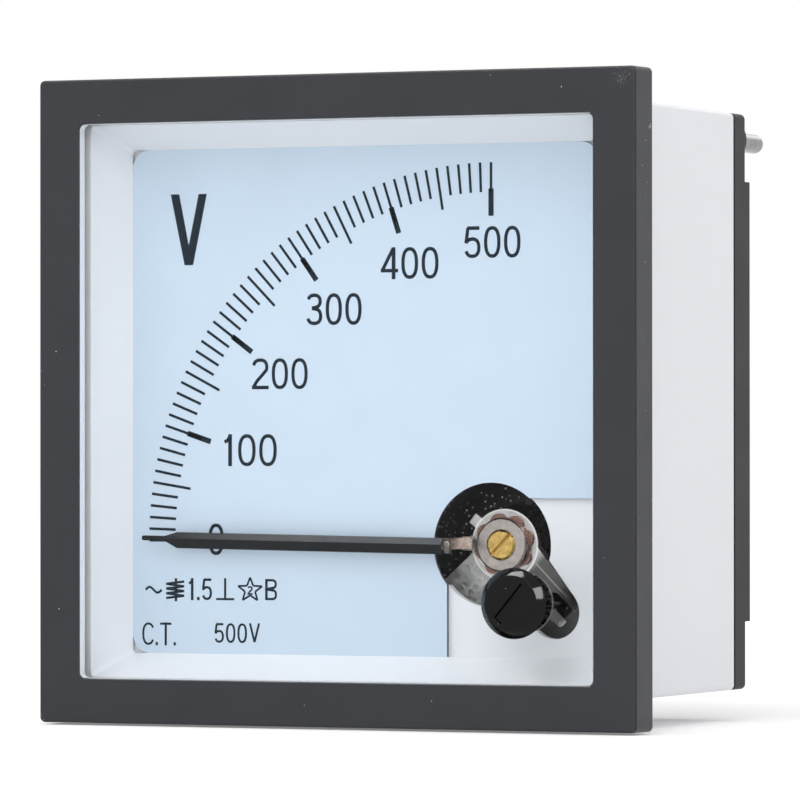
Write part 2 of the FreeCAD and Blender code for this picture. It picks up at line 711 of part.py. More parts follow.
def terminal_washers():
    return Part.makeCompound([
        tube(place, WASHER_RADIUS, TERMINAL_RADIUS + HOLE_GAP, BAND_BACK, BAND_BACK + WASHER_THICKNESS)
        for place in terminal_places()])


def spring_washers():
    """Split rings under the nuts."""
    rings = []
    front = BAND_BACK + WASHER_THICKNESS
    back = front + SPRING_WASHER_THICKNESS
    half = SPRING_WASHER_SLIT / 2
    for x, z in terminal_places():
        ring = tube((x, z), SPRING_WASHER_RADIUS, TERMINAL_RADIUS + HOLE_GAP, front, back)
        rings.append(ring.cut(block(x, x + 2 * SPRING_WASHER_RADIUS, front, back, z - half, z + half)))
    return Part.makeCompound(rings)


def terminal_nuts():
    front = BAND_BACK + WASHER_THICKNESS + SPRING_WASHER_THICKNESS
    return Part.makeCompound([
        hex_nut(place, NUT_FLATS, TERMINAL_RADIUS + THREAD_GAP, front, front + NUT_HEIGHT, NUT_CHAMFER)
        for place in terminal_places()])


def series_resistor():
    """Ceramic rod with a cap at each end, lying along X."""
    half = RESISTOR_LENGTH / 2
    body = RESISTOR_RADIUS - THREAD_GAP
    cap = body + RESISTOR_CAP_STEP
    profile = [
        (-half, 0), (-half, cap), (-half + RESISTOR_CAP, cap), (-half + RESISTOR_CAP, body),
        (half - RESISTOR_CAP, body), (half - RESISTOR_CAP, cap), (half, cap), (half, 0)]
    points = [vec(x, RESISTOR_Y + radius, RESISTOR_Z) for x, radius in profile]
    face = Part.Face(Part.makePolygon(points + points[:1]))
    return face.revolve(vec(0, RESISTOR_Y, RESISTOR_Z), vec(1, 0, 0), 360)


def bent_wire(points, radius, bend):
    """Round wire along straight runs joined by tangent arcs."""
    edges = []
    start = points[0]
    for before, corner, after in zip(points, points[1:], points[2:]):
        into = (corner - before).normalize()
        out = (after - corner).normalize()
        half_turn = into.getAngle(out) / 2
        back = bend * math.tan(half_turn)
        arc_start = corner - into * back
        arc_end = corner + out * back
        towards = (out - into).normalize()
        middle = corner + towards * (bend / math.cos(half_turn) - bend)
        edges.append(Part.LineSegment(start, arc_start).toShape())
        edges.append(Part.Arc(arc_start, middle, arc_end).toShape())
        start = arc_end
    edges.append(Part.LineSegment(start, points[-1]).toShape())
    path = Part.Wire(edges)
    section = Part.Wire([Part.makeCircle(radius, points[0], points[1] - points[0])])
    return path.makePipeShell([section], True, True)


def lead_wires():
    """Stiff wires: terminal to resistor, resistor to coil, coil to the other terminal."""
    left, right = terminal_places()
    tag_y = BAND_INSIDE - TAG_THICKNESS
    tag_z = left[1] + TAG_TAIL - TAG_TAIL_WIDTH / 2
    end = RESISTOR_LENGTH / 2
    out = end + 2 * LEAD_REACH
    coil_top = AXIS_Z + WINDING_RADIUS
    coil_y = (WINDING_FRONT + WINDING_BACK) / 2
    first_y = coil_y - LEAD_SPREAD
    last_y = coil_y + LEAD_SPREAD
    middle_z = (coil_top + RESISTOR_Z) / 2
    routes = [
        [vec(-end, RESISTOR_Y, RESISTOR_Z), vec(-end - LEAD_REACH, RESISTOR_Y, RESISTOR_Z),
         vec(left[0], tag_y - LEAD_REACH, tag_z), vec(left[0], tag_y, tag_z)],
        [vec(end, RESISTOR_Y, RESISTOR_Z), vec(out, RESISTOR_Y, RESISTOR_Z),
         vec(out, RESISTOR_Y, middle_z + LEAD_REACH), vec(AXIS_X, first_y, middle_z),
         vec(AXIS_X, first_y, coil_top)],
        [vec(AXIS_X, last_y, coil_top), vec(AXIS_X, last_y, coil_top + LEAD_REACH),
         vec(right[0], tag_y - LEAD_REACH, tag_z), vec(right[0], tag_y, tag_z)]]
    return Part.makeCompound([bent_wire(route, LEAD_RADIUS, LEAD_BEND) for route in routes])


def bridge_outline():
    """Front limb seen from the front: a fan below the axis whose two flanks pass beside the bearing."""
    left = polar(AXIS, BRIDGE_LEFT, BRIDGE_LEFT_ANGLE - 90)
    right = polar(AXIS, BRIDGE_RIGHT, BRIDGE_RIGHT_ANGLE + 90)
    left_slope = math.tan(math.radians(BRIDGE_LEFT_ANGLE))
    right_slope = math.tan(math.radians(BRIDGE_RIGHT_ANGLE))
    rise = right[1] - left[1] + left_slope * left[0] - right_slope * right[0]
    apex_x = rise / (left_slope - right_slope)
    apex = (apex_x, left[1] + left_slope * (apex_x - left[0]))
    left_x = AXIS_X - BRIDGE_HALF_WIDTH
    right_x = AXIS_X + BRIDGE_HALF_WIDTH
    foot = AXIS_Z - FRAME_LUG_Z - LUG_BOSS_RADIUS
    shoulder = foot + BRIDGE_SHOULDER
    left_z = max(left[1] + left_slope * (left_x - left[0]), shoulder)
    right_z = max(right[1] + right_slope * (right_x - right[0]), shoulder)
    return [apex, (left_x, left_z), (left_x, foot), (right_x, foot), (right_x, right_z)]


def movement_frame():
    """Galvanised U bracket: the fan-shaped bridge in front, a web under the coil and a limb behind it."""
    outline = bridge_outline()
    bridge = prism(outline, BRIDGE_FRONT, BRIDGE_BACK)
    apex = [e for e in bridge.Edges if abs(e.CenterOfMass.x - outline[0][0]) < NEAR and e.BoundBox.YLength > NEAR]
    bridge = bridge.makeFillet(BRIDGE_TOP_ROUND, apex)
    for place in lug_places():
        bridge = bridge.fuse(rod(place, LUG_BOSS_RADIUS, BRIDGE_FRONT, BRIDGE_BACK))
    pin_room = ECCENTRICITY + ECCENTRIC_PIN_RADIUS + BRIDGE_NOTCH_GAP
    holes = [(adjuster_axis(), pin_room), (AXIS, BUSH_RADIUS + THREAD_GAP)]
    holes += [(place, LUG_SCREW_RADIUS + HOLE_GAP) for place in lug_places()]
    for place, radius in holes:
        bridge = bridge.cut(hole(place, radius, BRIDGE_FRONT, BRIDGE_BACK))
    bottom = AXIS_Z - WEB_DROP
    left = AXIS_X - WEB_HALF_WIDTH
    right = AXIS_X + WEB_HALF_WIDTH
    neck = block(left, right, BRIDGE_FRONT, BRIDGE_BACK, bottom, outline[2][1] + FRAME_SHEET / 2)
    web = block(left, right, BRIDGE_FRONT, REAR_LIMB_BACK, bottom, bottom + FRAME_SHEET)
    half = REAR_LIMB_HALF_WIDTH
    limb_top = AXIS_Z + REAR_LIMB_RISE
    limb = block(AXIS_X - half, AXIS_X + half, REAR_LIMB_FRONT, REAR_LIMB_BACK, bottom, limb_top)
    corners = [e for e in limb.Edges if e.BoundBox.YLength > NEAR and abs(e.CenterOfMass.z - limb_top) < NEAR]
    limb = limb.makeFillet(half / 2, [e for e in corners if e.BoundBox.XLength < NEAR])
    limb = limb.cut(hole(AXIS, JEWEL_SCREW_RADIUS + THREAD_GAP, REAR_LIMB_FRONT, REAR_LIMB_BACK))
    frame = bridge.fuse([neck, web, limb]).removeSplitter()
    low = [e for e in frame.Edges if abs(e.BoundBox.ZMax - bottom) < NEAR]
    bends = [e for e in low if e.BoundBox.XLength > half and e.BoundBox.YLength < NEAR]
    return frame.makeFillet(FRAME_BEND, bends)


def frame_screws():
    """Cheese-head screws that hold the bridge to the tray's bosses."""
    screws = []
    for place in lug_places():
        screw = rod(place, LUG_SCREW_RADIUS, BRIDGE_FRONT - LUG_SCREW_BITE, BRIDGE_BACK)
        head_back = BRIDGE_BACK + LUG_SCREW_HEAD
        head = rod(place, LUG_SCREW_HEAD_RADIUS, BRIDGE_BACK, head_back)
        slot = slot_cutter(place, JEWEL_SLOT_WIDTH, LUG_SCREW_HEAD_RADIUS * 2, 0,
                           head_back - LUG_SCREW_HEAD / 2, head_back + OVERRUN)
        screws.append(screw.fuse(head).cut(slot).removeSplitter())
    return Part.makeCompound(screws)


def regulator_bush():
    """Flanged bush riveted in the bridge: the screw threads in it and the regulator turns on it."""
    bore = JEWEL_SCREW_RADIUS + THREAD_GAP
    rivet_back = BRIDGE_BACK + BUSH_RIVET_HEIGHT
    return turned(AXIS, [
        (bore, RING_NUT_BACK), (BUSH_RADIUS, RING_NUT_BACK), (BUSH_RADIUS, BRIDGE_BACK),
        (BUSH_RIVET_RADIUS, BRIDGE_BACK), (BUSH_RIVET_RADIUS, rivet_back), (bore, rivet_back)])


def jewel_screw(face, back):
    """Slotted bearing screw from its face to the end that holds the jewel, either way along Y."""
    way = 1 if back > face else -1
    seat = back - way * JEWEL_HEIGHT
    screw = turned(AXIS, [
        (0, face), (JEWEL_SCREW_RADIUS - JEWEL_SCREW_CHAMFER, face),
        (JEWEL_SCREW_RADIUS, face + way * JEWEL_SCREW_CHAMFER), (JEWEL_SCREW_RADIUS, back),
        (JEWEL_RADIUS + THREAD_GAP, back), (JEWEL_RADIUS + THREAD_GAP, seat), (0, seat)])
    ends = sorted([face - way * OVERRUN, face + way * JEWEL_SLOT_DEPTH])
    return screw.cut(slot_cutter(AXIS, JEWEL_SLOT_WIDTH, JEWEL_SCREW_RADIUS * 2, JEWEL_SLOT_ANGLE, *ends))


def jewel(back, way):
    """Cup jewel whose conical cup opens towards the spindle."""
    return turned(AXIS, [
        (0, back - way * JEWEL_HEIGHT), (JEWEL_RADIUS, back - way * JEWEL_HEIGHT), (JEWEL_RADIUS, back),
        (CUP_RADIUS, back), (0, back - way * CUP_DEPTH)])


def ring_nut():
    bore = JEWEL_SCREW_RADIUS + THREAD_GAP
    edge = RING_NUT_HEIGHT / 4
    return turned(AXIS, [
        (bore, RING_NUT_FRONT), (RING_NUT_RADIUS - edge, RING_NUT_FRONT),
        (RING_NUT_RADIUS, RING_NUT_FRONT + edge), (RING_NUT_RADIUS, RING_NUT_BACK), (bore, RING_NUT_BACK)])


def lobed_washer():
    """Thin spring washer with round lobes, pressed on the regulator by the ring nut."""
    front = RING_NUT_BACK
    ring = rod(AXIS, LOBED_WASHER_RADIUS, front, LOBED_WASHER_BACK)
    for i in range(LOBED_WASHER_LOBES):
        angle = LOBED_WASHER_ANGLE + 360 * i / LOBED_WASHER_LOBES
        place = polar(AXIS, LOBED_WASHER_RADIUS - LOBED_WASHER_LOBE, angle)
        ring = ring.fuse(rod(place, LOBED_WASHER_LOBE * 2, front, LOBED_WASHER_BACK))
    return ring.cut(hole(AXIS, BUSH_RADIUS + SLIDING_GAP, front, LOBED_WASHER_BACK)).removeSplitter()


def fork_arm():
    """Tapering arm along +X whose slotted end takes the eccentric pin."""
    start = AXIS_X + REGULATOR_RADIUS / 2
    end = AXIS_X + FORK_REACH
    root = FORK_ROOT_WIDTH / 2
    tip = FORK_TIP_WIDTH / 2
    arm = prism([(start, AXIS_Z - root), (end, AXIS_Z - tip), (end, AXIS_Z + tip), (start, AXIS_Z + root)],
                REGULATOR_FRONT, REGULATOR_BACK)
    half = ECCENTRIC_PIN_RADIUS + FORK_GAP
    corners = [e for e in arm.Edges if e.BoundBox.YLength > NEAR and abs(e.CenterOfMass.x - end) < NEAR]
    arm = arm.makeFillet((tip - half) / 2, [e for e in corners if e.BoundBox.ZLength < NEAR])
    bottom = AXIS_X + FORK_SLOT_START + half
    before = REGULATOR_FRONT - OVERRUN
    behind = REGULATOR_BACK + OVERRUN
    slot = block(bottom, end + OVERRUN, before, behind, AXIS_Z - half, AXIS_Z + half)
    return arm.cut(slot.fuse(rod((bottom, AXIS_Z), half, before, behind)))


def regulator():
    """Disc on the bush, with the fork round the eccentric pin and a tail bent back to the hairspring."""
    disc = rod(AXIS, REGULATOR_RADIUS, REGULATOR_FRONT, REGULATOR_BACK)
    half = TAIL_WIDTH / 2
    end = AXIS_X + TAIL_REACH
    start = AXIS_X + REGULATOR_RADIUS / 2
    tail = block(start, end, REGULATOR_FRONT, REGULATOR_BACK, AXIS_Z - half, AXIS_Z + half)
    bent = block(end - REGULATOR_THICKNESS, end, REGULATOR_FRONT, SPRING_BACK, AXIS_Z - half, AXIS_Z + half)
    body = disc.fuse([turn(fork_arm(), AXIS, ADJUSTER_ANGLE), turn(tail.fuse(bent), AXIS, TAIL_ANGLE)])
    return body.cut(hole(AXIS, BUSH_RADIUS + SLIDING_GAP, REGULATOR_FRONT, REGULATOR_BACK)).removeSplitter()


def hairspring():
    """Flat spiral strip whose outer end leaves in a straight line to the regulator's tail."""
    tail_inside = TAIL_REACH - REGULATOR_THICKNESS
    leave = TAIL_ANGLE - math.degrees(math.acos(SPRING_OUTER / tail_inside))
    start = leave - 360 * SPRING_TURNS
    steps = int(SPRING_TURNS * 12)
    sides = []
    for side in (-1, 1):
        points = []
        for i in range(steps + 1):
            distance = SPRING_INNER + (SPRING_OUTER - SPRING_INNER) * i / steps + side * SPRING_STRIP / 2
            x, z = polar(AXIS, distance, start + (leave - start) * i / steps)
            points.append(vec(x, SPRING_FRONT, z))
        sides.append(points)
    end_x, end_z = polar(AXIS, tail_inside - SPRING_STRIP / 2, TAIL_ANGLE)
    leave_way = vec(end_x, SPRING_FRONT, end_z) - (sides[0][-1] + sides[1][-1]) * 0.5
    half_strip = vec(leave_way.z, 0, -leave_way.x).normalize() * (SPRING_STRIP / 2)
    ends = [vec(end_x, SPRING_FRONT, end_z) + half_strip * way for way in (-1, 1)]
    if (ends[0] - sides[0][-1]).Length > (ends[1] - sides[0][-1]).Length:
        ends.reverse()
    inner_curve = Part.BSplineCurve()
    inner_curve.interpolate(sides[0])
    outer_curve = Part.BSplineCurve()
    outer_curve.interpolate(sides[1])
    edges = [
        inner_curve.toShape(), Part.LineSegment(sides[0][-1], ends[0]).toShape(),
        Part.LineSegment(ends[0], ends[1]).toShape(), Part.LineSegment(ends[1], sides[1][-1]).toShape(),
        outer_curve.toShape(), Part.LineSegment(sides[1][0], sides[0][0]).toShape()]
    face = Part.Face(Part.Wire(Part.__sortEdges__(edges)))
    return face.extrude(vec(0, SPRING_HEIGHT, 0))


def coil_bobbin():
    """Moulded bobbin on two feet, with a collar towards the dial and two stop pins for the pointer."""
    bottom = AXIS_Z - WEB_DROP + FRAME_SHEET
    half = BOBBIN_FOOT_HALF_WIDTH
    body = rod(AXIS, BOBBIN_BORE + BOBBIN_TUBE_WALL, FLANGE_FRONT, BOBBIN_BACK)
    for front in (FLANGE_FRONT, WINDING_BACK):
        back = front + BOBBIN_FLANGE
        foot = block(AXIS_X - half, AXIS_X + half, front, back, bottom, AXIS_Z - BOBBIN_RADIUS / 2)
        body = body.fuse([rod(AXIS, BOBBIN_RADIUS, front, back), foot])
    collar_front = FLOOR_BACK + INSERT_GAP
    collar = sector(AXIS, COLLAR_INNER + COLLAR_WALL, COLLAR_INNER, COLLAR_START_ANGLE, COLLAR_SWEEP,
                    collar_front, FLANGE_FRONT)
    body = body.fuse(collar)
    for angle in stop_angles():
        place = polar(AXIS, STOP_DISTANCE, angle)
        body = body.fuse(rod(place, STOP_RADIUS, FLANGE_FRONT - STOP_LENGTH, FLANGE_FRONT))
    return body.cut(hole(AXIS, BOBBIN_BORE, FLANGE_FRONT, BOBBIN_BACK)).removeSplitter()


def stop_angles():
    """Angles of the stop pins, just past the stem's arm at each end of its travel."""
    arm = math.degrees(math.asin(STEM_ARM_WIDTH / 2 / STOP_DISTANCE))
    pin = math.degrees(math.asin(STOP_RADIUS / STOP_DISTANCE))
    rest = 180 - POINTER_REST
    past = arm + pin + ADJUSTING_SWING + STOP_MARGIN
    return [rest + TRAVEL_DOWN + past, rest - TRAVEL_UP - past]


def coil_winding():
    inner = BOBBIN_BORE + BOBBIN_TUBE_WALL + WINDING_GAP
    return tube(AXIS, WINDING_RADIUS, inner, WINDING_FRONT + WINDING_GAP, WINDING_BACK - WINDING_GAP)


def fixed_iron():
    """Curved iron tongue on the bore's wall, narrowing from its first end to its last."""
    outer = BOBBIN_BORE - FIXED_IRON_GAP
    inner = outer - FIXED_IRON_SHEET
    shell = sector(AXIS, outer, inner, FIXED_IRON_START, FIXED_IRON_SWEEP, FLANGE_FRONT, BOBBIN_BACK)
    narrow = FLANGE_FRONT + WINDING_LENGTH / 3
    behind = BOBBIN_BACK + OVERRUN
    slope = [(BOBBIN_BACK, -BOBBIN_BORE), (narrow, BOBBIN_BORE), (behind, BOBBIN_BORE), (behind, -BOBBIN_BORE)]
    points = [vec(AXIS_X, y, AXIS_Z + across) for y, across in slope]
    taper = Part.Face(Part.makePolygon(points + points[:1])).extrude(vec(2 * BOBBIN_BORE, 0, 0))
    return shell.cut(turn(taper, AXIS, FIXED_IRON_START + FIXED_IRON_SWEEP / 2))


def moving_iron():
    """Curved iron vane on a thin radial carrier that is pressed on the spindle."""
    front = WINDING_FRONT + IRON_END_GAP
    back = WINDING_BACK - IRON_END_GAP
    inner = MOVING_IRON_RADIUS - MOVING_IRON_SHEET
    vane = sector(AXIS, MOVING_IRON_RADIUS, inner, MOVING_IRON_START, MOVING_IRON_SWEEP, front, back)
    carrier = block(AXIS_X, AXIS_X + inner + MOVING_IRON_SHEET / 2, front, back,
                    AXIS_Z - CARRIER_SHEET / 2, AXIS_Z + CARRIER_SHEET / 2)
    carrier = turn(carrier, AXIS, MOVING_IRON_START + MOVING_IRON_SWEEP / 2)
    sleeve = rod(AXIS, SPINDLE_RADIUS * 2, front, back)
    return vane.fuse([carrier, sleeve]).cut(hole(AXIS, SPINDLE_RADIUS, front, back)).removeSplitter()


def damping_magnet():
    """C-shaped magnet whose jaws stand on both sides of the vane's rim."""
    half = MAGNET_WIDTH / 2
    gap_front = VANE_FRONT - MAGNET_AIR_GAP
    gap_back = VANE_BACK + MAGNET_AIR_GAP
    left = AXIS_X + MAGNET_INNER
    right = AXIS_X + MAGNET_OUTER
    body = block(left, right, gap_front - MAGNET_JAW, REAR_LIMB_FRONT, AXIS_Z - half, AXIS_Z + half)
    gap = block(left, right - MAGNET_YOKE, gap_front, gap_back, AXIS_Z - half, AXIS_Z + half)
    return turn(body.cut(gap), AXIS, MAGNET_ANGLE)


def damping_vane():
    """Aluminium sector on a small hub behind the coil."""
    hub_front = VANE_FRONT - VANE_HUB_LENGTH
    sheet = sector(AXIS, VANE_RADIUS, SPINDLE_RADIUS / 2, VANE_START, VANE_SWEEP, VANE_FRONT, VANE_BACK)
    hub = rod(AXIS, VANE_HUB_RADIUS, hub_front, VANE_BACK)
    return sheet.fuse(hub).cut(hole(AXIS, SPINDLE_RADIUS, hub_front, VANE_BACK)).removeSplitter()


def rear_lock_nut():
    bore = JEWEL_SCREW_RADIUS + THREAD_GAP
    back = REAR_LIMB_BACK + REAR_NUT_HEIGHT
    return hex_nut(AXIS, REAR_NUT_FLATS, bore, REAR_LIMB_BACK, back, NUT_CHAMFER / 2)


def spindle():
    """Steel spindle with a conical pivot at each end."""
    return turned(AXIS, [
        (0, PIVOT_FRONT), (PIVOT_TIP_RADIUS, PIVOT_FRONT), (SPINDLE_RADIUS, PIVOT_FRONT + PIVOT_LENGTH),
        (SPINDLE_RADIUS, PIVOT_BACK - PIVOT_LENGTH), (PIVOT_TIP_RADIUS, PIVOT_BACK), (0, PIVOT_BACK)])


def hairspring_collet():
    return tube(AXIS, COLLET_RADIUS, SPINDLE_RADIUS, SPRING_FRONT, STEM_FRONT)


def pointer_hub():
    return tube(AXIS, HUB_RADIUS, SPINDLE_RADIUS, STEM_BACK, HUB_BACK)


def at_rest(shape):
    """Turn a shape modelled along +X to the pointer's direction at rest."""
    return turn(shape, AXIS, 180 - POINTER_REST)


def lug_front():
    return POINTER_RIDGE_Y + POINTER_ROOF


def pointer_stem():
    """Bent strip: ring on the spindle, arm outwards, run forwards through the eye, lug under the pointer."""
    front = lug_front()
    outer = AXIS_X + STEM_DISTANCE
    inner = outer - STEM_SHEET
    half = STEM_RUN_WIDTH / 2
    arm_half = STEM_ARM_WIDTH / 2
    lug_half = STEM_LUG_WIDTH / 2
    lug_end = AXIS_X + STEM_LUG_REACH
    ring = rod(AXIS, STEM_DISC_RADIUS, STEM_FRONT, STEM_BACK)
    arm = block(AXIS_X, outer, STEM_FRONT, STEM_BACK, AXIS_Z - arm_half, AXIS_Z + arm_half)
    run = block(inner, outer, front, STEM_BACK, AXIS_Z - half, AXIS_Z + half)
    lug = block(inner, lug_end, front, front + STEM_SHEET, AXIS_Z - lug_half, AXIS_Z + lug_half)
    stem = ring.fuse([at_rest(arm), at_rest(run), at_rest(lug)])
    return stem.cut(hole(AXIS, SPINDLE_RADIUS, STEM_FRONT, STEM_BACK)).removeSplitter()


def blade_section():
    """Outline of the folded strip as (across, y): two facets that meet in the ridge, one sheet thick."""
    foot = lug_front()
    upper = math.hypot(POINTER_UPPER, POINTER_ROOF) * POINTER_SHEET
    lower = math.hypot(POINTER_LOWER, POINTER_ROOF) * POINTER_SHEET
    facets = POINTER_ROOF / POINTER_UPPER + POINTER_ROOF / POINTER_LOWER
    across = (lower / POINTER_LOWER - upper / POINTER_UPPER) / facets
    inside = POINTER_RIDGE_Y + (upper + across * POINTER_ROOF) / POINTER_UPPER
    return [
        (POINTER_UPPER, foot), (0, POINTER_RIDGE_Y), (-POINTER_LOWER, foot),
        (-POINTER_LOWER + lower / POINTER_ROOF, foot), (across, inside),
        (POINTER_UPPER - upper / POINTER_ROOF, foot), (POINTER_UPPER, foot)]


def pointer():
    """Folded blade with its ridge to the front, drawn in at the shoulder to a thin flat tip.

    It is drawn to the right of the axis and turned half round, so its upper facet is drawn below.
    """
    root = AXIS_X + POINTER_START
    shoulder = AXIS_X + POINTER_SHOULDER
    neck = AXIS_X + POINTER_NECK
    half = POINTER_TIP_WIDTH / 2
    section = Part.Face(Part.makePolygon([vec(root, y, AXIS_Z - across) for across, y in blade_section()]))
    blade = section.extrude(vec(neck - root, 0, 0))
    outline = prism([(x, AXIS_Z - across) for x, across in [
        (root, POINTER_UPPER), (shoulder, POINTER_UPPER), (neck, half), (neck, -half),
        (shoulder, -POINTER_LOWER), (root, -POINTER_LOWER)]], POINTER_RIDGE_Y - OVERRUN, lug_front() + OVERRUN)
    front = POINTER_RIDGE_Y + POINTER_TIP_THICKNESS / 2
    back = front + POINTER_TIP_THICKNESS
    nose = AXIS_X + POINTER_TIP - half
    tip = block(shoulder, nose, front, back, AXIS_Z - half, AXIS_Z + half)
    return at_rest(blade.common(outline).fuse([tip, rod((nose, AXIS_Z), half, front, back)]).removeSplitter())


def balance_weight():
    front = STEM_BACK + SLIDING_GAP
    inner = HUB_RADIUS + THREAD_GAP
    start = WEIGHT_ANGLE - WEIGHT_SWEEP / 2
    return sector(AXIS, WEIGHT_OUTER, inner, start, WEIGHT_SWEEP, front, front + WEIGHT_THICKNESS)


def zero_adjuster():
    """Slotted cap outside the pane, a shank through it and an eccentric pin that reaches the fork."""
    centre = adjuster_axis()
    base = PANE_FACE - ADJUSTER_GAP
    face = base - ADJUSTER_HEAD
    shoulder = base - ADJUSTER_HEAD_STEP
    shank_back = TRAY_FRONT + ADJUSTER_SHANK_BACK
    cap = turned(centre, [
        (0, face), (ADJUSTER_FACE_RADIUS, face), (ADJUSTER_HEAD_RADIUS, shoulder), (ADJUSTER_HEAD_RADIUS, base),
        (ADJUSTER_SHANK_RADIUS, base), (ADJUSTER_SHANK_RADIUS, shank_back), (0, shank_back)])
    slot = slot_cutter(centre, ADJUSTER_SLOT_WIDTH, ADJUSTER_SLOT_LENGTH / 2, ADJUSTER_SLOT_ANGLE,
                       face - OVERRUN, face + ADJUSTER_SLOT_DEPTH)
    pin_centre = polar(AXIS, ADJUSTER_DISTANCE + ECCENTRICITY, ADJUSTER_ANGLE)
    pin_back = REGULATOR_BACK + ECCENTRIC_PIN_PAST_FORK
    pin = rod(pin_centre, ECCENTRIC_PIN_RADIUS, shank_back - EMBED, pin_back)
    return cap.cut(slot).fuse(pin).removeSplitter()


def adjuster_retainer():
    """Slit push-on ring on the shank behind the pane."""
    centre = adjuster_axis()
    front = TRAY_FRONT + ADJUSTER_GAP
    back = front + RETAINER_THICKNESS
    ring = tube(centre, RETAINER_RADIUS, ADJUSTER_SHANK_RADIUS, front, back)
    reach = centre[0] + (RETAINER_RADIUS + ADJUSTER_SHANK_RADIUS) / 2
    half = RETAINER_SLIT_WIDTH / 2
    slit = block(centre[0], reach, front, back, centre[1] - half, centre[1] + half)
    for i in range(RETAINER_SLITS):
        ring = ring.cut(turn(slit, centre, 360 * i / RETAINER_SLITS))
    return ring


NODES = {
    "bezel": bezel,
    "window": window,
    "dial_tray": dial_tray,
    "dial_plate": dial_plate,
    "case_shell": case_shell,
    "rear_cover": rear_cover,
    "cover_screws": cover_screws,
    "mounting_studs": mounting_studs,
    "terminal_studs": terminal_studs,
    "solder_tags": solder_tags,
    "terminal_washers": terminal_washers,
    "spring_washers": spring_washers,
    "terminal_nuts": terminal_nuts,
    "series_resistor": series_resistor,
    "lead_wires": lead_wires,
    "movement_frame": movement_frame,
    "frame_screws": frame_screws,
    "regulator_bush": regulator_bush,
    "front_jewel_screw": lambda: jewel_screw(SCREW_FACE, SCREW_BACK),
    "front_jewel": lambda: jewel(SCREW_BACK, 1),
    "ring_nut": ring_nut,
    "lobed_washer": lobed_washer,
    "rear_jewel_screw": lambda: jewel_screw(REAR_SCREW_BACK, REAR_SCREW_FRONT),
    "rear_jewel": lambda: jewel(REAR_SCREW_FRONT, -1),
    "rear_lock_nut": rear_lock_nut,
    "coil_bobbin": coil_bobbin,
    "coil_winding": coil_winding,
    "fixed_iron": fixed_iron,
    "damping_magnet": damping_magnet,
    "zero_adjuster": zero_adjuster,
    "adjuster_retainer": adjuster_retainer,
    "regulator": regulator,
    "hairspring": hairspring,
    "pointer": pointer,
    "pointer_stem": pointer_stem,
    "pointer_hub": pointer_hub,
    "hairspring_collet": hairspring_collet,
    "spindle": spindle,
    "balance_weight": balance_weight,
    "moving_iron": moving_iron,
    "damping_vane": damping_vane,
}

os.makedirs("parts", exist_ok=True)
for node, build in NODES.items():
    build().exportStep(f"parts/{node}.step")
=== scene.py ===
"""Looks for a square analog panel meter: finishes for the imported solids, the printed dial and fine pieces."""

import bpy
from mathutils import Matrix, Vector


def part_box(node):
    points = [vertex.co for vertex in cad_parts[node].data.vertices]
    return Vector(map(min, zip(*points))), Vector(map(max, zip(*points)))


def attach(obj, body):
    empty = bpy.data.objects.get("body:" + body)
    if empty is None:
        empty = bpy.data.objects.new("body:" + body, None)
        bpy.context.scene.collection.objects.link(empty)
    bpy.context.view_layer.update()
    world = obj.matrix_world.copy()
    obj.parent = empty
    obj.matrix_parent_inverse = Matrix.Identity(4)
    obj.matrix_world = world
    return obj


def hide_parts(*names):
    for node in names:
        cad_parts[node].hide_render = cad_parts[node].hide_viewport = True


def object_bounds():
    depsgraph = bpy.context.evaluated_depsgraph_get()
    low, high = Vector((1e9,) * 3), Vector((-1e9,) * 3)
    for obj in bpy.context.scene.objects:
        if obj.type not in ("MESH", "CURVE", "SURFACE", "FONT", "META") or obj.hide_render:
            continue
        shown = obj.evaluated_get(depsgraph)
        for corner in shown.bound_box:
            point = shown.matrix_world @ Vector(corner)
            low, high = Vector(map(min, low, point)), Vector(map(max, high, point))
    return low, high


bl_info = {
    "name": "Analog panel meter",
    "version": (1, 0, 0),
    "blender": (4, 5, 0),
    "location": "View3D > Sidebar > Meter",
    "description": "Dresses the packed solids of a 72 mm panel meter and sets its stage",
    "category": "Object",
}

import math

import bpy
from bpy.props import FloatProperty, FloatVectorProperty, IntProperty, PointerProperty
from mathutils import Vector

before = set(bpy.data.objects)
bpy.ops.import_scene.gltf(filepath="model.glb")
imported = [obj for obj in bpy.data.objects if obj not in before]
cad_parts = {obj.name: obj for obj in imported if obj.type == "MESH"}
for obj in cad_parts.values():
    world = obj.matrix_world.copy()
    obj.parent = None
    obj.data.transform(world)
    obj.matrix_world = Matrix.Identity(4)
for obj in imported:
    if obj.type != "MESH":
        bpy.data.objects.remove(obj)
CAD_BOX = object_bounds()

# sizes and places are in mm, apart from those of lamps and camera
MM = 0.001

# axes of the movement and of the zero adjuster
AXIS_X = 15.57
AXIS_Z = -15.95
ADJUSTER_X = 21.72
ADJUSTER_Z = -22.10

# folded tab that holds the blade's root: left, right, bottom, top and back
BLADE_CLAMP = (10.85, 11.45, -16.85, -15.5, 2.0)
CLAMP_THICKNESS = 0.75
CLAMP_ROUND = 0.12

# slotted cap of the zero adjuster
CAP_RADIUS = 3.87
CAP_FACE_RADIUS = 3.05
CAP_HEIGHT = 1.0
CAP_EDGE = 0.12
CAP_ROUND = 0.07
SHANK_RADIUS = 2.5
SHANK_BACK = -0.63
SLOT_WIDTH = 1.1
SLOT_REACH = 2.45
SLOT_DEPTH = 0.7
SLOT_ANGLE = 50
SLOT_OVERRUN = 0.5
PIN_RADIUS = 0.45
PIN_OFFSET = 0.6
PIN_SINK = 0.05
PIN_STEPS = 32

# rounded edges: steps of a round, and the angles in degrees that count as an edge to round or to shade
ROUND_SEGMENTS = 3
ROUND_LIMIT = 30
SMOOTH_LIMIT = 35

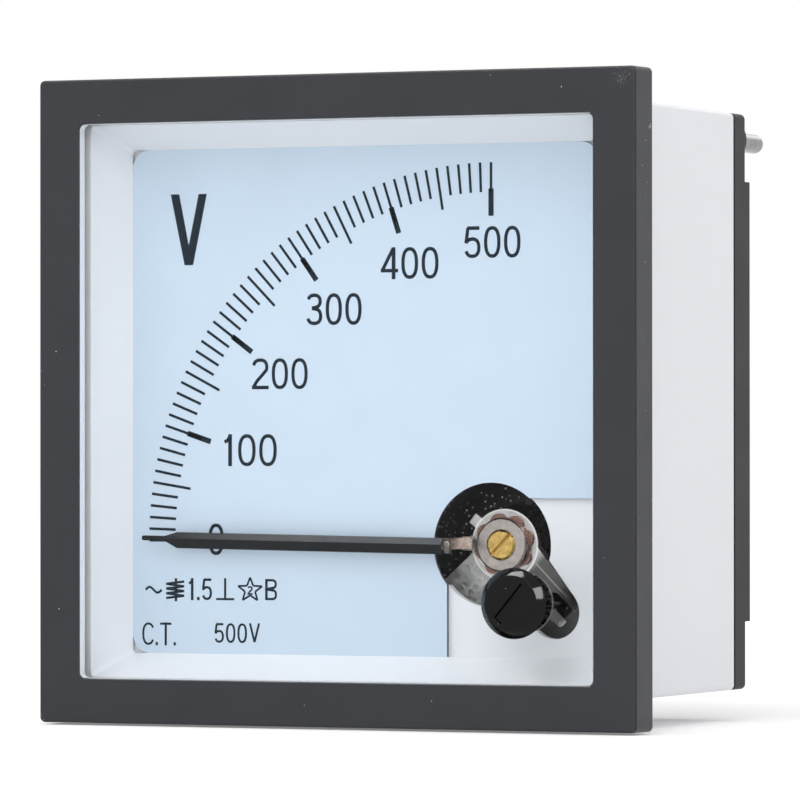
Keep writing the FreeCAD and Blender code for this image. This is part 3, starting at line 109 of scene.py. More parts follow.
# printed lettering: text, middle across, middle up, width, height, and a stroke of its own where it has one
FIGURES = (
    ("0", -17.95, -15.47, 1.99, 3.59),
    ("100", -13.75, -5.48, 6.67, 3.58),
    ("200", -10.06, 3.06, 6.89, 3.46),
    ("300", -3.44, 10.21, 6.84, 3.56),
    ("400", 5.79, 15.23, 7.01, 3.54),
    ("500", 15.71, 17.43, 6.81, 3.52),
)
NOTES = (
    ("1.5", -19.94, -21.09, 2.99, 2.47),
    ("B", -11.14, -21.06, 1.48, 2.35),
    ("C.T.", -25.05, -26.15, 4.26, 2.59, 0.11),
    ("500V", -15.34, -25.97, 5.69, 2.24),
)
# places and sizes of the signs: middle across, middle up, width and height
UNIT_PLACE = (-21.34, 19.30, 4.49, 7.98)
WAVE_PLACE = (-25.74, -21.20, 2.0, 0.62)
IRON_PLACE = (-23.05, -21.18, 2.25, 2.59)
UPRIGHT_PLACE = (-16.83, -21.06, 2.23, 2.47)
STAR_PLACE = (-13.74, -21.03, 2.97, 2.68)
# strokes of the signs
WAVE_STROKE = 0.3
IRON_STROKE = 0.3
UPRIGHT_STROKE = 0.28
STAR_STROKE = 0.25
# scale: steps of 100 V over the whole sweep, and steps of 50 V over their share of it
LONG_STEPS = 5
MIDDLE_STEPS = 9
MIDDLE_SHARE = 0.9
# corners of the large V as shares of its width and height
UNIT_LETTER = ((0, 1), (0.235, 1), (0.5, 0.277), (0.775, 1), (1, 1), (0.62, 0), (0.385, 0))
# widths of the letters, the gap between them in the same units, and the stroke as a share of the height
LETTER_WIDTHS = {".": 0.16, "1": 0.34, "V": 0.6, "C": 0.6, "T": 0.6}
LETTER_WIDTH = 0.52
LETTER_GAP = 0.09
LETTER_STROKE = 0.13

# floor: its side in m, how far it lies below the meter, and the light it adds to what the camera sees
FLOOR_SIDE = 6
FLOOR_GAP = 0.2
FLOOR_LIFT = 0.18
# world's light from below and from above
WORLD_LOW = 0.55
WORLD_HIGH = 0.9
# camera: place and nearest distance in m, turn in degrees, lens and sensor in mm
CAMERA_PLACE = (0.289380, -0.641333, -0.004726)
CAMERA_TURN = (90.39, 0.03, 23.828)
CAMERA_LENS = 286.47
CAMERA_SENSOR = 36
CAMERA_NEAR = 0.05
# name, place in m, side in m, power in W, and whether it lights matt surfaces or only glints in glossy ones
LAMPS = (
    ("key", (0.25, -1.0, 0.5), 0.7, 2.45, True),
    ("top", (-0.42, -0.54, 0.86), 0.45, 1.9, True),
    ("side", (0.9, -0.35, 0.35), 0.6, 0.2, True),
    ("window_high", (-0.21, -0.16, 0.96), 0.5, 13.0, False),
    ("window_right", (0.8, -0.44, 0.41), 0.5, 13.0, False),
    ("strip_behind", (0.03, 0.92, 0.39), 0.3, 0.25, False),
)


def linear(colour):
    """Linear RGBA of an sRGB hex colour such as #cfe1f2."""
    values = [int(colour[i:i + 2], 16) / 255 for i in (1, 3, 5)]
    return tuple(v / 12.92 if v <= 0.04045 else ((v + 0.055) / 1.055) ** 2.4 for v in values) + (1.0,)


def length(mm, name, text):
    """Panel value for a size, given in mm and kept in m."""
    return FloatProperty(
        name=name, description=text, default=mm * MM, unit="LENGTH", subtype="DISTANCE", precision=5)


def angle(degrees, name, text):
    """Panel value for an angle, given in degrees."""
    return FloatProperty(
        name=name, description=text, default=math.radians(degrees), unit="ROTATION", subtype="ANGLE")


def tint(colour, name, text):
    """Panel value for a colour, given as sRGB hex."""
    return FloatVectorProperty(
        name=name, description=text, default=linear(colour), size=4, min=0, max=1, subtype="COLOR")


class MeterSizes(bpy.types.PropertyGroup):
    """Sizes of the printed scale and of the pieces modelled here."""
    scale_x: length(15.57, "Scale centre X", "Centre of the printed scale, to the right of the middle")
    scale_z: length(-15.63, "Scale centre Z", "Centre of the printed scale, above the middle")
    scale_radius: length(41.85, "Scale radius", "Outer end of every scale line")
    short_end: length(38.58, "Short line end", "Inner end of a line for 10 V")
    middle_end: length(37.15, "Middle line end", "Inner end of a line for 50 V")
    long_end: length(35.94, "Long line end", "Inner end of a line for 100 V")
    thick_start: length(38.95, "Thick part", "Where the line for 100 V becomes thick")
    line_width: length(0.3, "Line width", "Width of a thin scale line")
    thick_width: length(0.62, "Thick line width", "Width of the inner part of a line for 100 V")
    scale_sweep: angle(90, "Scale sweep", "Angle from the first to the last line")
    divisions: IntProperty(name="Divisions", description="Steps on the scale", default=50, min=10, max=100)
    ink: length(0.02, "Ink thickness", "How far the print stands off the plate")


class MeterColours(bpy.types.PropertyGroup):
    """Colours of the finishes."""
    bezel: tint("#35363a", "Bezel", "Dark grey moulded frame")
    white: tint("#e6e7ec", "Case", "White moulded case")
    # painted light: the tray is the case's white plastic, drawn lighter to make up for the shade inside the
    # recess
    tray: tint("#eff0f2", "Dial tray", "White moulded tray")
    dial: tint("#cfdfed", "Dial", "Pale blue lacquer")
    print_ink: tint("#172530", "Print", "Screen-printed ink of the scale")
    cover: tint("#2b2b2d", "Rear cover", "Black moulded cover")
    cap: tint("#060607", "Adjuster", "Black polished cap")
    pointer: tint("#181b1e", "Pointer", "Black lacquer of the blade")
    zinc: tint("#a9a8a6", "Zinc plate", "Bright plated steel")
    disc: tint("#c0bdb9", "Regulator", "Bright plated disc")
    galvanised: tint("#bfbdba", "Galvanised steel", "Spangled sheet of the bridge")
    brass: tint("#d8b468", "Brass", "Turned brass")
    bronze: tint("#b08a72", "Bronze", "Hairspring strip")
    washer: tint("#8d6c61", "Lobed washer", "Stained bronze")
    nut: tint("#b3aaa3", "Ring nut", "Tumbled steel")
    stem: tint("#eee0d7", "Pointer stem", "Tinned bronze strip")


def add(tree, kind, inputs=None, **settings):
    """Add a shader node, set its settings, and give each named input a value or a socket."""
    made = tree.nodes.new(kind)
    for key, value in settings.items():
        setattr(made, key, value)
    for key, value in (inputs or {}).items():
        if isinstance(value, bpy.types.NodeSocket):
            tree.links.new(value, made.inputs[key])
        else:
            made.inputs[key].default_value = value
    return made


class Finish:
    """A finish being made: its shader, its colour so far, and the place of each point on the piece."""

    def __init__(self, name, colour, roughness, metallic=0.0, gloss=0.5):
        self.material = bpy.data.materials.new(name)
        self.material.use_nodes = True
        self.tree = self.material.node_tree
        self.tree.nodes.clear()
        self.shader = add(self.tree, "ShaderNodeBsdfPrincipled", {
            "Base Color": tuple(colour), "Roughness": roughness, "Metallic": metallic,
            "Specular IOR Level": gloss})
        self.end = add(self.tree, "ShaderNodeOutputMaterial", {"Surface": self.shader.outputs[0]})
        self.place = add(self.tree, "ShaderNodeTexCoord").outputs["Object"]
        self.colour = tuple(colour)
        self.roughness = roughness
        self.edges = None

    def coat(self, where, colour):
        """Another colour over the one so far, where the pattern is 1."""
        mixed = add(self.tree, "ShaderNodeMix", {0: where, 6: self.colour, 7: colour}, data_type="RGBA")
        self.colour = mixed.outputs[2]
        self.tree.links.new(self.colour, self.shader.inputs["Base Color"])


def shade(colour, factor):
    """Colour times a factor, kept within 1."""
    return tuple(min(1.0, v * factor) for v in colour[:3]) + (1.0,)


def mottle(finish, size_mm, dark, light, dull=0.0, stretch=(1, 1, 1)):
    """Cloudy patches about size_mm wide: the colour times dark to times light, the light ones duller."""
    tree = finish.tree
    place = add(tree, "ShaderNodeMapping", {"Vector": finish.place, "Scale": stretch}).outputs[0]
    patch = add(tree, "ShaderNodeTexNoise", {
        "Vector": place, "Scale": 1 / (size_mm * MM), "Detail": 3.0}).outputs["Fac"]
    patch = add(tree, "ShaderNodeMapRange", {"Value": patch, "From Min": 0.28, "From Max": 0.72}).outputs[0]
    colour = finish.colour
    finish.colour = shade(colour, dark)
    finish.coat(patch, shade(colour, light))
    if dull:
        rough = add(tree, "ShaderNodeMapRange", {
            "Value": patch, "To Min": finish.roughness - dull / 2, "To Max": finish.roughness + dull / 2})
        tree.links.new(rough.outputs[0], finish.shader.inputs["Roughness"])


def soft_edges(finish, radius_mm):
    """Edges that catch the light as if rounded by radius_mm."""
    finish.edges = add(finish.tree, "ShaderNodeBevel", {"Radius": radius_mm * MM}, samples=4).outputs[0]
    finish.tree.links.new(finish.edges, finish.shader.inputs["Normal"])


def grain(finish, size_mm, depth_mm, stretch=(1, 1, 1)):
    """Fine relief with features about size_mm wide and depth_mm deep."""
    tree = finish.tree
    place = add(tree, "ShaderNodeMapping", {"Vector": finish.place, "Scale": stretch}).outputs[0]
    height = add(tree, "ShaderNodeTexNoise", {"Vector": place, "Scale": 1 / (size_mm * MM)}).outputs["Fac"]
    relief(finish, height, depth_mm)


def relief(finish, height, depth_mm):
    """Relief from a pattern whose full height is depth_mm."""
    made = add(finish.tree, "ShaderNodeBump", {"Height": height, "Distance": depth_mm * MM})
    if finish.edges:
        finish.tree.links.new(finish.edges, made.inputs["Normal"])
    finish.tree.links.new(made.outputs[0], finish.shader.inputs["Normal"])


def specks(finish, spacing_mm, radius_mm, share, colour):
    """Small specks of dust: one in a share of cells about spacing_mm wide."""
    tree = finish.tree
    cells = add(tree, "ShaderNodeTexVoronoi", {"Vector": finish.place, "Scale": 1 / (spacing_mm * MM)})
    edge = radius_mm / spacing_mm
    near = add(tree, "ShaderNodeMapRange", {
        "Value": cells.outputs["Distance"], "From Min": edge * 0.6, "From Max": edge,
        "To Min": 1.0, "To Max": 0.0})
    lot = add(tree, "ShaderNodeSeparateColor", {"Color": cells.outputs["Color"]}).outputs[0]
    drawn = add(tree, "ShaderNodeMath", {0: lot, 1: share}, operation="LESS_THAN").outputs[0]
    spots = add(tree, "ShaderNodeMath", {0: near.outputs[0], 1: drawn}, operation="MULTIPLY").outputs[0]
    finish.coat(spots, linear(colour))


def scuff(finish, place, reach_mm, size_mm, colour):
    """Scraped place: pale scratches about size_mm wide that thin out reach_mm from their middle."""
    tree = finish.tree
    middle = tuple(v * MM for v in place)
    away = add(tree, "ShaderNodeVectorMath", {
        0: finish.place, 1: middle}, operation="DISTANCE").outputs["Value"]
    close = add(tree, "ShaderNodeMapRange", {
        "Value": away, "From Min": 0.0, "From Max": reach_mm * MM, "To Min": 0.3, "To Max": 0.0}).outputs[0]
    drawn = add(tree, "ShaderNodeMapping", {"Vector": finish.place, "Scale": (1.0, 1.0, 0.4)}).outputs[0]
    marks = add(tree, "ShaderNodeTexNoise", {
        "Vector": drawn, "Scale": 1 / (size_mm * MM), "Detail": 2.0}).outputs["Fac"]
    level = add(tree, "ShaderNodeMath", {0: marks, 1: close}, operation="ADD").outputs[0]
    sharp = add(tree, "ShaderNodeMapRange", {"Value": level, "From Min": 0.82, "From Max": 0.92}).outputs[0]
    finish.coat(sharp, linear(colour))


def moulded(name, colour, roughness, grain_mm, grain_depth_mm, uneven=0.03, gloss=0.5):
    """Injection-moulded plastic: even colour, a soft sheen, and the fine grain of the mould."""
    finish = Finish(name, colour, roughness, gloss=gloss)
    mottle(finish, 9.0, 1 - uneven, 1 + uneven, uneven)
    soft_edges(finish, 0.15)
    grain(finish, grain_mm, grain_depth_mm)
    return finish


def bezel_plastic(colour):
    """Moulded grey frame: satin, with dust, a dark line painted along the front's outer edge, and worn places.
    """
    finish = Finish("satin_grey_abs", colour, 0.42, gloss=0.2)
    tree = finish.tree
    mottle(finish, 7.0, 0.96, 1.05, 0.1)
    # a dark line is painted along the outer edge of the front face, all round the frame
    split = add(tree, "ShaderNodeSeparateXYZ", {"Vector": finish.place})
    across = add(tree, "ShaderNodeMath", {0: split.outputs["X"]}, operation="ABSOLUTE").outputs[0]
    upright = add(tree, "ShaderNodeMath", {0: split.outputs["Z"]}, operation="ABSOLUTE").outputs[0]
    reach = add(tree, "ShaderNodeMath", {0: across, 1: upright}, operation="MAXIMUM").outputs[0]
    rim = add(tree, "ShaderNodeMath", {0: reach, 1: 35.82 * MM}, operation="GREATER_THAN").outputs[0]
    front = add(tree, "ShaderNodeMath", {
        0: split.outputs["Y"], 1: -4.5 * MM}, operation="LESS_THAN").outputs[0]
    front_edge_line = add(tree, "ShaderNodeMath", {0: rim, 1: front}, operation="MULTIPLY").outputs[0]
    front_edge_line = add(tree, "ShaderNodeMath", {0: front_edge_line, 1: 0.75}, operation="MULTIPLY").outputs[0]
    finish.coat(front_edge_line, linear("#0d0d0f"))
    specks(finish, 1.7, 0.08, 0.3, "#c9c9c8")
    scuff(finish, (34.4, -4.7, 34.8), 2.6, 0.11, "#8f8f90")
    scuff(finish, (36.0, -0.4, 29.6), 2.4, 0.3, "#a9a9a8")
    scuff(finish, (-35.9, -4.5, -35.4), 1.5, 0.2, "#8d8d8e")
    soft_edges(finish, 0.2)
    grain(finish, 0.16, 0.01)
    return finish.material


def turned_metal(name, colour, roughness=0.22, stain=0.14):
    """Machined metal: fine rings from the tool round the movement's axis, edges that glint, some stains."""
    finish = Finish(name, colour, roughness, 1.0)
    tree = finish.tree
    mottle(finish, 0.5, 1 - stain, 1 + stain / 2, stain)
    soft_edges(finish, 0.08)
    centred = add(tree, "ShaderNodeMapping", {
        "Vector": finish.place, "Location": (-AXIS_X * MM, 0, -AXIS_Z * MM)})
    rings = add(tree, "ShaderNodeTexWave", {
        "Vector": centred.outputs[0], "Scale": 0.32 / (0.08 * MM), "Distortion": 1.5, "Detail": 2.0},
        wave_type="RINGS", rings_direction="Y")
    relief(finish, rings.outputs["Fac"], 0.002)
    return finish.material


def plated_steel(name, colour, roughness=0.24, uneven=0.14):
    """Plated sheet or wire: bright, with the fine cloud of the crystals."""
    finish = Finish(name, colour, roughness, 1.0)
    mottle(finish, 0.8, 1 - uneven, 1 + uneven / 2, 0.14)
    soft_edges(finish, 0.07)
    grain(finish, 0.25, 0.005)
    return finish.material


def regulator_steel(colour):
    """Zinc-plated disc and tail with a painted highlight round the disc's rim; the fork arm is painted dark as
    shade and dark reflection, with one painted highlight line along it.
    """
    finish = Finish("zinc_plate_with_painted_shade_and_highlights", colour, 0.2, 1.0)
    tree = finish.tree
    mottle(finish, 1.1, 0.78, 1.1, 0.14)
    along = math.sqrt(0.5)
    away = add(tree, "ShaderNodeVectorMath", {
        0: finish.place, 1: (AXIS_X * MM, 0, AXIS_Z * MM)}, operation="SUBTRACT").outputs[0]
    down = add(tree, "ShaderNodeVectorMath", {
        0: away, 1: (along, 0, -along)}, operation="DOT_PRODUCT").outputs["Value"]
    side = add(tree, "ShaderNodeVectorMath", {
        0: away, 1: (along, 0, along)}, operation="DOT_PRODUCT").outputs["Value"]
    # painted shade: from 3.4 to 11.4 mm out along the fork arm the zinc is coloured dark grey, for the shade
    # and the dark inside that it mirrors
    start = add(tree, "ShaderNodeMapRange", {
        "Value": down, "From Min": 3.4 * MM, "From Max": 4.4 * MM}).outputs[0]
    tip = add(tree, "ShaderNodeMapRange", {
        "Value": down, "From Min": 10.6 * MM, "From Max": 11.4 * MM, "To Min": 1.0, "To Max": 0.0}).outputs[0]
    arm = add(tree, "ShaderNodeMath", {0: start, 1: tip}, operation="MULTIPLY").outputs[0]
    dark = add(tree, "ShaderNodeMath", {0: arm, 1: 0.86}, operation="MULTIPLY").outputs[0]
    finish.coat(dark, linear("#3a3938"))
    # painted highlight: a pale line along the arm, 1.2 mm to one side of its middle
    aside = add(tree, "ShaderNodeMath", {0: side, 1: 1.2 * MM}, operation="SUBTRACT").outputs[0]
    aside = add(tree, "ShaderNodeMath", {0: aside}, operation="ABSOLUTE").outputs[0]
    line = add(tree, "ShaderNodeMapRange", {
        "Value": aside, "From Min": 0.02 * MM, "From Max": 0.1 * MM, "To Min": 0.7, "To Max": 0.0}).outputs[0]
    painted_edge_highlight = add(tree, "ShaderNodeMath", {0: arm, 1: line}, operation="MULTIPLY").outputs[0]
    finish.coat(painted_edge_highlight, linear("#bab8b4"))
    # painted highlight: a pale ring at the disc's rim
    radius = add(tree, "ShaderNodeVectorMath", {0: away, 1: (1, 0, 1)}, operation="MULTIPLY").outputs[0]
    radius = add(tree, "ShaderNodeVectorMath", {0: radius}, operation="LENGTH").outputs["Value"]
    rim = add(tree, "ShaderNodeMapRange", {
        "Value": radius, "From Min": 3.76 * MM, "From Max": 3.9 * MM}).outputs[0]
    inside = add(tree, "ShaderNodeMath", {0: radius, 1: 4.05 * MM}, operation="LESS_THAN").outputs[0]
    bright = add(tree, "ShaderNodeMath", {0: rim, 1: inside}, operation="MULTIPLY").outputs[0]
    finish.coat(bright, linear("#e4e0dc"))
    specks(finish, 0.5, 0.06, 0.7, "#d8d8d4")
    soft_edges(finish, 0.14)
    grain(finish, 0.3, 0.006)
    return finish.material


def galvanised_sheet(colour):
    """Hot-dip galvanised sheet: 0.4 mm spangles, each with its own grey and sheen, with painted shadow near the
    adjuster's pin.
    """
    finish = Finish("galvanised_sheet", colour, 0.42, 1.0)
    tree = finish.tree
    bent = add(tree, "ShaderNodeTexNoise", {"Vector": finish.place, "Scale": 1 / (0.7 * MM), "Detail": 3.0})
    cells = add(tree, "ShaderNodeTexVoronoi", {"Vector": finish.place, "Scale": 1 / (0.42 * MM)})
    spangle = add(tree, "ShaderNodeSeparateColor", {"Color": cells.outputs["Color"]}).outputs[0]
    mixed = add(tree, "ShaderNodeMath", {0: spangle, 1: bent.outputs["Fac"]}, operation="MULTIPLY").outputs[0]
    light = add(tree, "ShaderNodeMapRange", {"Value": mixed, "From Max": 0.5}).outputs[0]
    finish.colour = shade(colour, 0.72)
    finish.coat(light, shade(colour, 1.1))
    sheen = add(tree, "ShaderNodeMapRange", {"Value": spangle, "To Min": 0.34, "To Max": 0.56})
    tree.links.new(sheen.outputs[0], finish.shader.inputs["Roughness"])
    # painted shadow: within about 5 mm of the adjuster's axis the sheet is coloured nearly black, where the
    # cap's shadow falls
    away = add(tree, "ShaderNodeVectorMath", {
        0: finish.place, 1: (ADJUSTER_X * MM, 0, ADJUSTER_Z * MM)}, operation="SUBTRACT").outputs[0]
    flat = add(tree, "ShaderNodeVectorMath", {0: away, 1: (1, 0, 1)}, operation="MULTIPLY").outputs[0]
    apart = add(tree, "ShaderNodeVectorMath", {0: flat}, operation="LENGTH").outputs["Value"]
    painted_cap_shadow = add(tree, "ShaderNodeMapRange", {
        "Value": apart, "From Min": 4.6 * MM, "From Max": 5.4 * MM, "To Min": 0.85, "To Max": 0.0}).outputs[0]
    finish.coat(painted_cap_shadow, linear("#2f3031"))
    relief(finish, mixed, 0.02)
    return finish.material


def spring_strip(name, colour, roughness=0.26):
    """Rolled bronze strip: warm metal with fine rolling lines along the strip and darker stains."""
    finish = Finish(name, colour, roughness, 1.0)
    mottle(finish, 0.9, 0.62, 1.12, 0.16, (1.0, 1.0, 3.0))
    soft_edges(finish, 0.06)
    grain(finish, 0.4, 0.003, (1.0, 1.0, 8.0))
    return finish.material


def lacquered(name, colour, roughness, gloss=0.5, grain_mm=0.12):
    """Sprayed lacquer: even colour and a faint orange peel."""
    finish = Finish(name, colour, roughness, gloss=gloss)
    mottle(finish, 6.0, 0.985, 1.015)
    grain(finish, grain_mm, 0.002)
    return finish


def screen_ink(colour):
    """Screen-printed ink: flat dark film with hardly any sheen, its tooth finer than the lacquer's."""
    return lacquered("screen_ink", colour, 0.45, 0.12, 0.06).material


def dial_lacquer(colour):
    """Pale blue lacquer on the front of an aluminium plate, whose edges are painted dark as the shadow line
    along its rim.
    """
    finish = lacquered("pale_blue_lacquer", colour, 0.38)
    tree = finish.tree
    # painted shadow: faces that look sideways, the plate's edges, are coloured dark grey as the shadow line
    # along the plate
    normal = add(tree, "ShaderNodeNewGeometry").outputs["True Normal"]
    facing = add(tree, "ShaderNodeSeparateXYZ", {"Vector": normal}).outputs["Y"]
    level = add(tree, "ShaderNodeMath", {0: facing}, operation="ABSOLUTE").outputs[0]
    edge = add(tree, "ShaderNodeMath", {0: level, 1: 0.5}, operation="LESS_THAN").outputs[0]
    finish.coat(edge, linear("#57566a"))
    return finish.material


def clear_pane():
    """Polished clear acrylic: clear straight through, a slight mirror in front, and side walls that the camera
    sees pale and matt, as a painted reflection of the white tray.
    """
    finish = Finish("clear_acrylic_pane", linear("#f3f5f8"), 0.5)
    tree = finish.tree
    clear = add(tree, "ShaderNodeBsdfTransparent", {"Color": linear("#fdfeff")})
    mirror = add(tree, "ShaderNodeBsdfGlossy", {"Roughness": 0.02})
    slant = add(tree, "ShaderNodeFresnel", {"IOR": 1.49}).outputs[0]
    seen = add(tree, "ShaderNodeLightPath").outputs["Is Camera Ray"]
    part = add(tree, "ShaderNodeMath", {0: seen, 1: slant}, operation="MULTIPLY").outputs[0]
    part = add(tree, "ShaderNodeMath", {0: part, 1: 0.2}, operation="MULTIPLY").outputs[0]
    front = add(tree, "ShaderNodeMixShader", {0: part, 1: clear.outputs[0], 2: mirror.outputs[0]})
    # painted reflection: to the camera the side walls, away from the adjuster's hole, show a pale matt white in
    # place of the tray mirrored in them; other rays pass through
    normal = add(tree, "ShaderNodeNewGeometry").outputs["True Normal"]
    facing = add(tree, "ShaderNodeSeparateXYZ", {"Vector": normal}).outputs["Y"]
    level = add(tree, "ShaderNodeMath", {0: facing}, operation="ABSOLUTE").outputs[0]
    wall = add(tree, "ShaderNodeMath", {0: level, 1: 0.5}, operation="LESS_THAN").outputs[0]
    away = add(tree, "ShaderNodeVectorMath", {
        0: finish.place, 1: (ADJUSTER_X * MM, 0, ADJUSTER_Z * MM)}, operation="SUBTRACT").outputs[0]
    flat = add(tree, "ShaderNodeVectorMath", {0: away, 1: (1, 0, 1)}, operation="MULTIPLY").outputs[0]
    apart = add(tree, "ShaderNodeVectorMath", {0: flat}, operation="LENGTH").outputs["Value"]
    outer = add(tree, "ShaderNodeMath", {0: apart, 1: 6 * MM}, operation="GREATER_THAN").outputs[0]
    painted_wall_reflection = add(tree, "ShaderNodeMath", {0: wall, 1: outer}, operation="MULTIPLY").outputs[0]
    painted_wall_reflection = add(tree, "ShaderNodeMath", {0: painted_wall_reflection, 1: seen}, operation="MULTIPLY").outputs[0]
    whole = add(tree, "ShaderNodeMixShader", {0: painted_wall_reflection, 1: front.outputs[0], 2: finish.shader.outputs[0]})
    tree.links.new(whole.outputs[0], finish.end.inputs["Surface"])
    return finish.material


def polished_cap(colour):
    """Polished black phenolic: deep black under a clear gloss, with a few fine specks of dust."""
    finish = Finish("polished_black_moulding", colour, 0.1, gloss=0.2)
    mottle(finish, 2.0, 0.9, 1.1, 0.08)
    specks(finish, 0.8, 0.06, 0.5, "#8a8a8c")
    return finish.material


def dusty_nylon():
    """Moulded black nylon of the bobbin: nearly black, satin, with pale specks of dust."""
    finish = moulded("black_nylon", linear("#08090a"), 0.35, 0.22, 0.01, 0.1, 0.25)
    specks(finish, 0.6, 0.13, 0.9, "#f4f4f0")
    return finish.material


def wound_wire():
    """Layer of enamelled copper wire round the bobbin, turns about 0.2 mm apart along the axis."""
    colour = linear("#3b2013")
    finish = Finish("enamelled_copper_wire", colour, 0.32, 0.6)
    tree = finish.tree
    turns = add(tree, "ShaderNodeTexWave", {
        "Vector": finish.place, "Scale": 0.32 / (0.2 * MM), "Distortion": 0.4},
        wave_type="BANDS", bands_direction="Y")
    # painted shade and highlight: each turn is coloured light on its crown and dark in the groove beside the
    # next turn
    finish.colour = shade(colour, 0.4)
    finish.coat(turns.outputs["Fac"], shade(colour, 1.2))
    relief(finish, turns.outputs["Fac"], 0.05)
    return finish.material


def dress(node, material):
    """Give a carried-over solid its finish."""
    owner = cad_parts[node]
    owner.data.materials.clear()
    owner.data.materials.append(material)


def clear_selection():
    """Leave edit mode and select nothing."""
    if bpy.context.object and bpy.context.object.mode != "OBJECT":
        bpy.ops.object.mode_set(mode="OBJECT")
    bpy.ops.object.select_all(action="DESELECT")


def settle(made, name, material, body):
    """Apply an object's place to its mesh, give it its name and finish, and let it ride on its body."""
    clear_selection()
    made.select_set(True)
    bpy.context.view_layer.objects.active = made
    bpy.ops.object.transform_apply(location=True, rotation=True, scale=True)
    made.name = name
    made.data.name = name
    made.data.materials.clear()
    made.data.materials.append(material)
    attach(made, body)
    return made


def join(parts):
    """Join several mesh objects into the first."""
    clear_selection()
    for part in parts:
        part.select_set(True)
    bpy.context.view_layer.objects.active = parts[0]
    bpy.ops.object.join()
    return parts[0]


def sizes():
    """Panel values for the sizes."""
    return bpy.context.scene.meter_sizes


def colours():
    """Panel values for the colours."""
    return bpy.context.scene.meter_colours


def print_front():
    """Plane of the dial's front, from the carried-over plate."""
    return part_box("dial_plate")[0].y


def upright_slab(x0, x1, z0, z1, y_back, thickness):
    """Thin slab that stands on the plane at y_back and faces the front."""
    clear_selection()
    bpy.ops.mesh.primitive_cube_add(size=1, location=((x0 + x1) / 2, y_back - thickness / 2, (z0 + z1) / 2))
    slab = bpy.context.object
    slab.scale = (x1 - x0, thickness, z1 - z0)
    bpy.ops.object.transform_apply(location=True, rotation=True, scale=True)
    return slab


def repeat_round(made, steps, sweep):
    """Copy a line along the scale from its first place, clockwise seen from the front."""
    clear_selection()
    made.select_set(True)
    bpy.context.view_layer.objects.active = made
    bpy.ops.object.mode_set(mode="EDIT")
    bpy.ops.mesh.select_all(action="SELECT")
    middle = (sizes().scale_x, 0, sizes().scale_z)
    bpy.ops.mesh.spin(steps=steps, dupli=True, angle=-sweep, center=middle, axis=(0, 1, 0))
    bpy.ops.object.mode_set(mode="OBJECT")
    return made


def scale_line(outer, inner, width, steps, sweep):
    """Printed lines between two radii, from the scale's zero round to the end of the sweep."""
    s = sizes()
    low, high = s.scale_z - width / 2, s.scale_z + width / 2
    line = upright_slab(s.scale_x - outer, s.scale_x - inner, low, high, print_front(), s.ink)
    return repeat_round(line, steps, sweep)


def squarer(part):
    """Push a sine or cosine outwards, so that a round turns slightly square as in narrow figures."""
    return math.copysign(abs(part) ** 0.84, part)


def arc(x, z, wide, high, start, end, steps=14):
    """Points of an oval arc between two angles in degrees, from the right through the top."""
    turns = [math.radians(start + (end - start) * i / steps) for i in range(steps + 1)]
    return [(x + wide * squarer(math.cos(t)), z + high * squarer(math.sin(t))) for t in turns]


def glyph(letter, w, t):
    """Centre lines of a plain upright figure one high and w wide, drawn with a stroke t thick."""
    low, top, left, right, half = t / 2, 1 - t / 2, t / 2, w - t / 2, w / 2
    wide = half - t / 2
    shapes = {
        "0": [arc(half, 0.5, wide, 0.5 - low, 0, 360, 28)],
        "1": [[(0.6 * w, 0), (0.6 * w, 1)], [(0.12 * w, 0.76), (0.38 * w, 0.8), (0.6 * w, 0.94)]],
        "2": [arc(half, 0.72, wide, 0.28 - low, 170, -25) + [(0.3 * w, 0.26), (left, 0.08)],
              [(0, low), (w, low)]],
        "3": [arc(half, 0.75, wide * 0.92, 0.25 - low, 165, -80) + [(0.36 * w, 0.53)],
              [(0.36 * w, 0.53)] + arc(half, 0.285, wide, 0.285 - low, 80, -165)],
        "4": [[(0.74 * w, 0), (0.74 * w, 1)], [(0.72 * w, 0.97), (left, 0.3)], [(0, 0.27), (w, 0.27)]],
        "5": [[(0.2 * w, top), (0.92 * w, top)], [(0.24 * w, top), (0.13 * w, 0.47)],
              [(0.12 * w, 0.48)] + arc(half, 0.33, wide, 0.33 - low, 130, -160)],
        "V": [[(left, 1), (half, low)], [(right, 1), (half, low)]],
        "B": [[(left, 0), (left, 1)],
              [(0, top)] + arc(0.58 * w, 0.76, 0.3 * w, 0.24 - low, 90, -90) + [(0, 0.52)],
              [(0, 0.52)] + arc(0.6 * w, 0.26, 0.4 * w - low, 0.26 - low, 90, -90) + [(0, low)]],
        "C": [arc(0.55 * w, 0.5, 0.55 * w - low, 0.5 - low, 32, 328, 22)],
        "T": [[(0, top), (w, top)], [(half, 0), (half, 1)]],
        ".": [[(half, 0), (half, 1.15 * t)]],
    }
    return shapes[letter]


def lettering(text, x, z, width, height, t=LETTER_STROKE):
    """Printed figures that fill a box on the dial, sizes in mm."""
    widths = [LETTER_WIDTHS.get(letter, LETTER_WIDTH) for letter in text]
    scale = width / (sum(widths) + LETTER_GAP * (len(text) - 1))
    at = x - width / 2
    parts = []
    for letter, wide in zip(text, widths):
        for line in glyph(letter, wide, t * height / scale):
            points = [(at + px * scale, z - height / 2 + pz * height) for px, pz in line]
            parts.append(stroke(points, t * height))
        at += (wide + LETTER_GAP) * scale
    return join(parts)


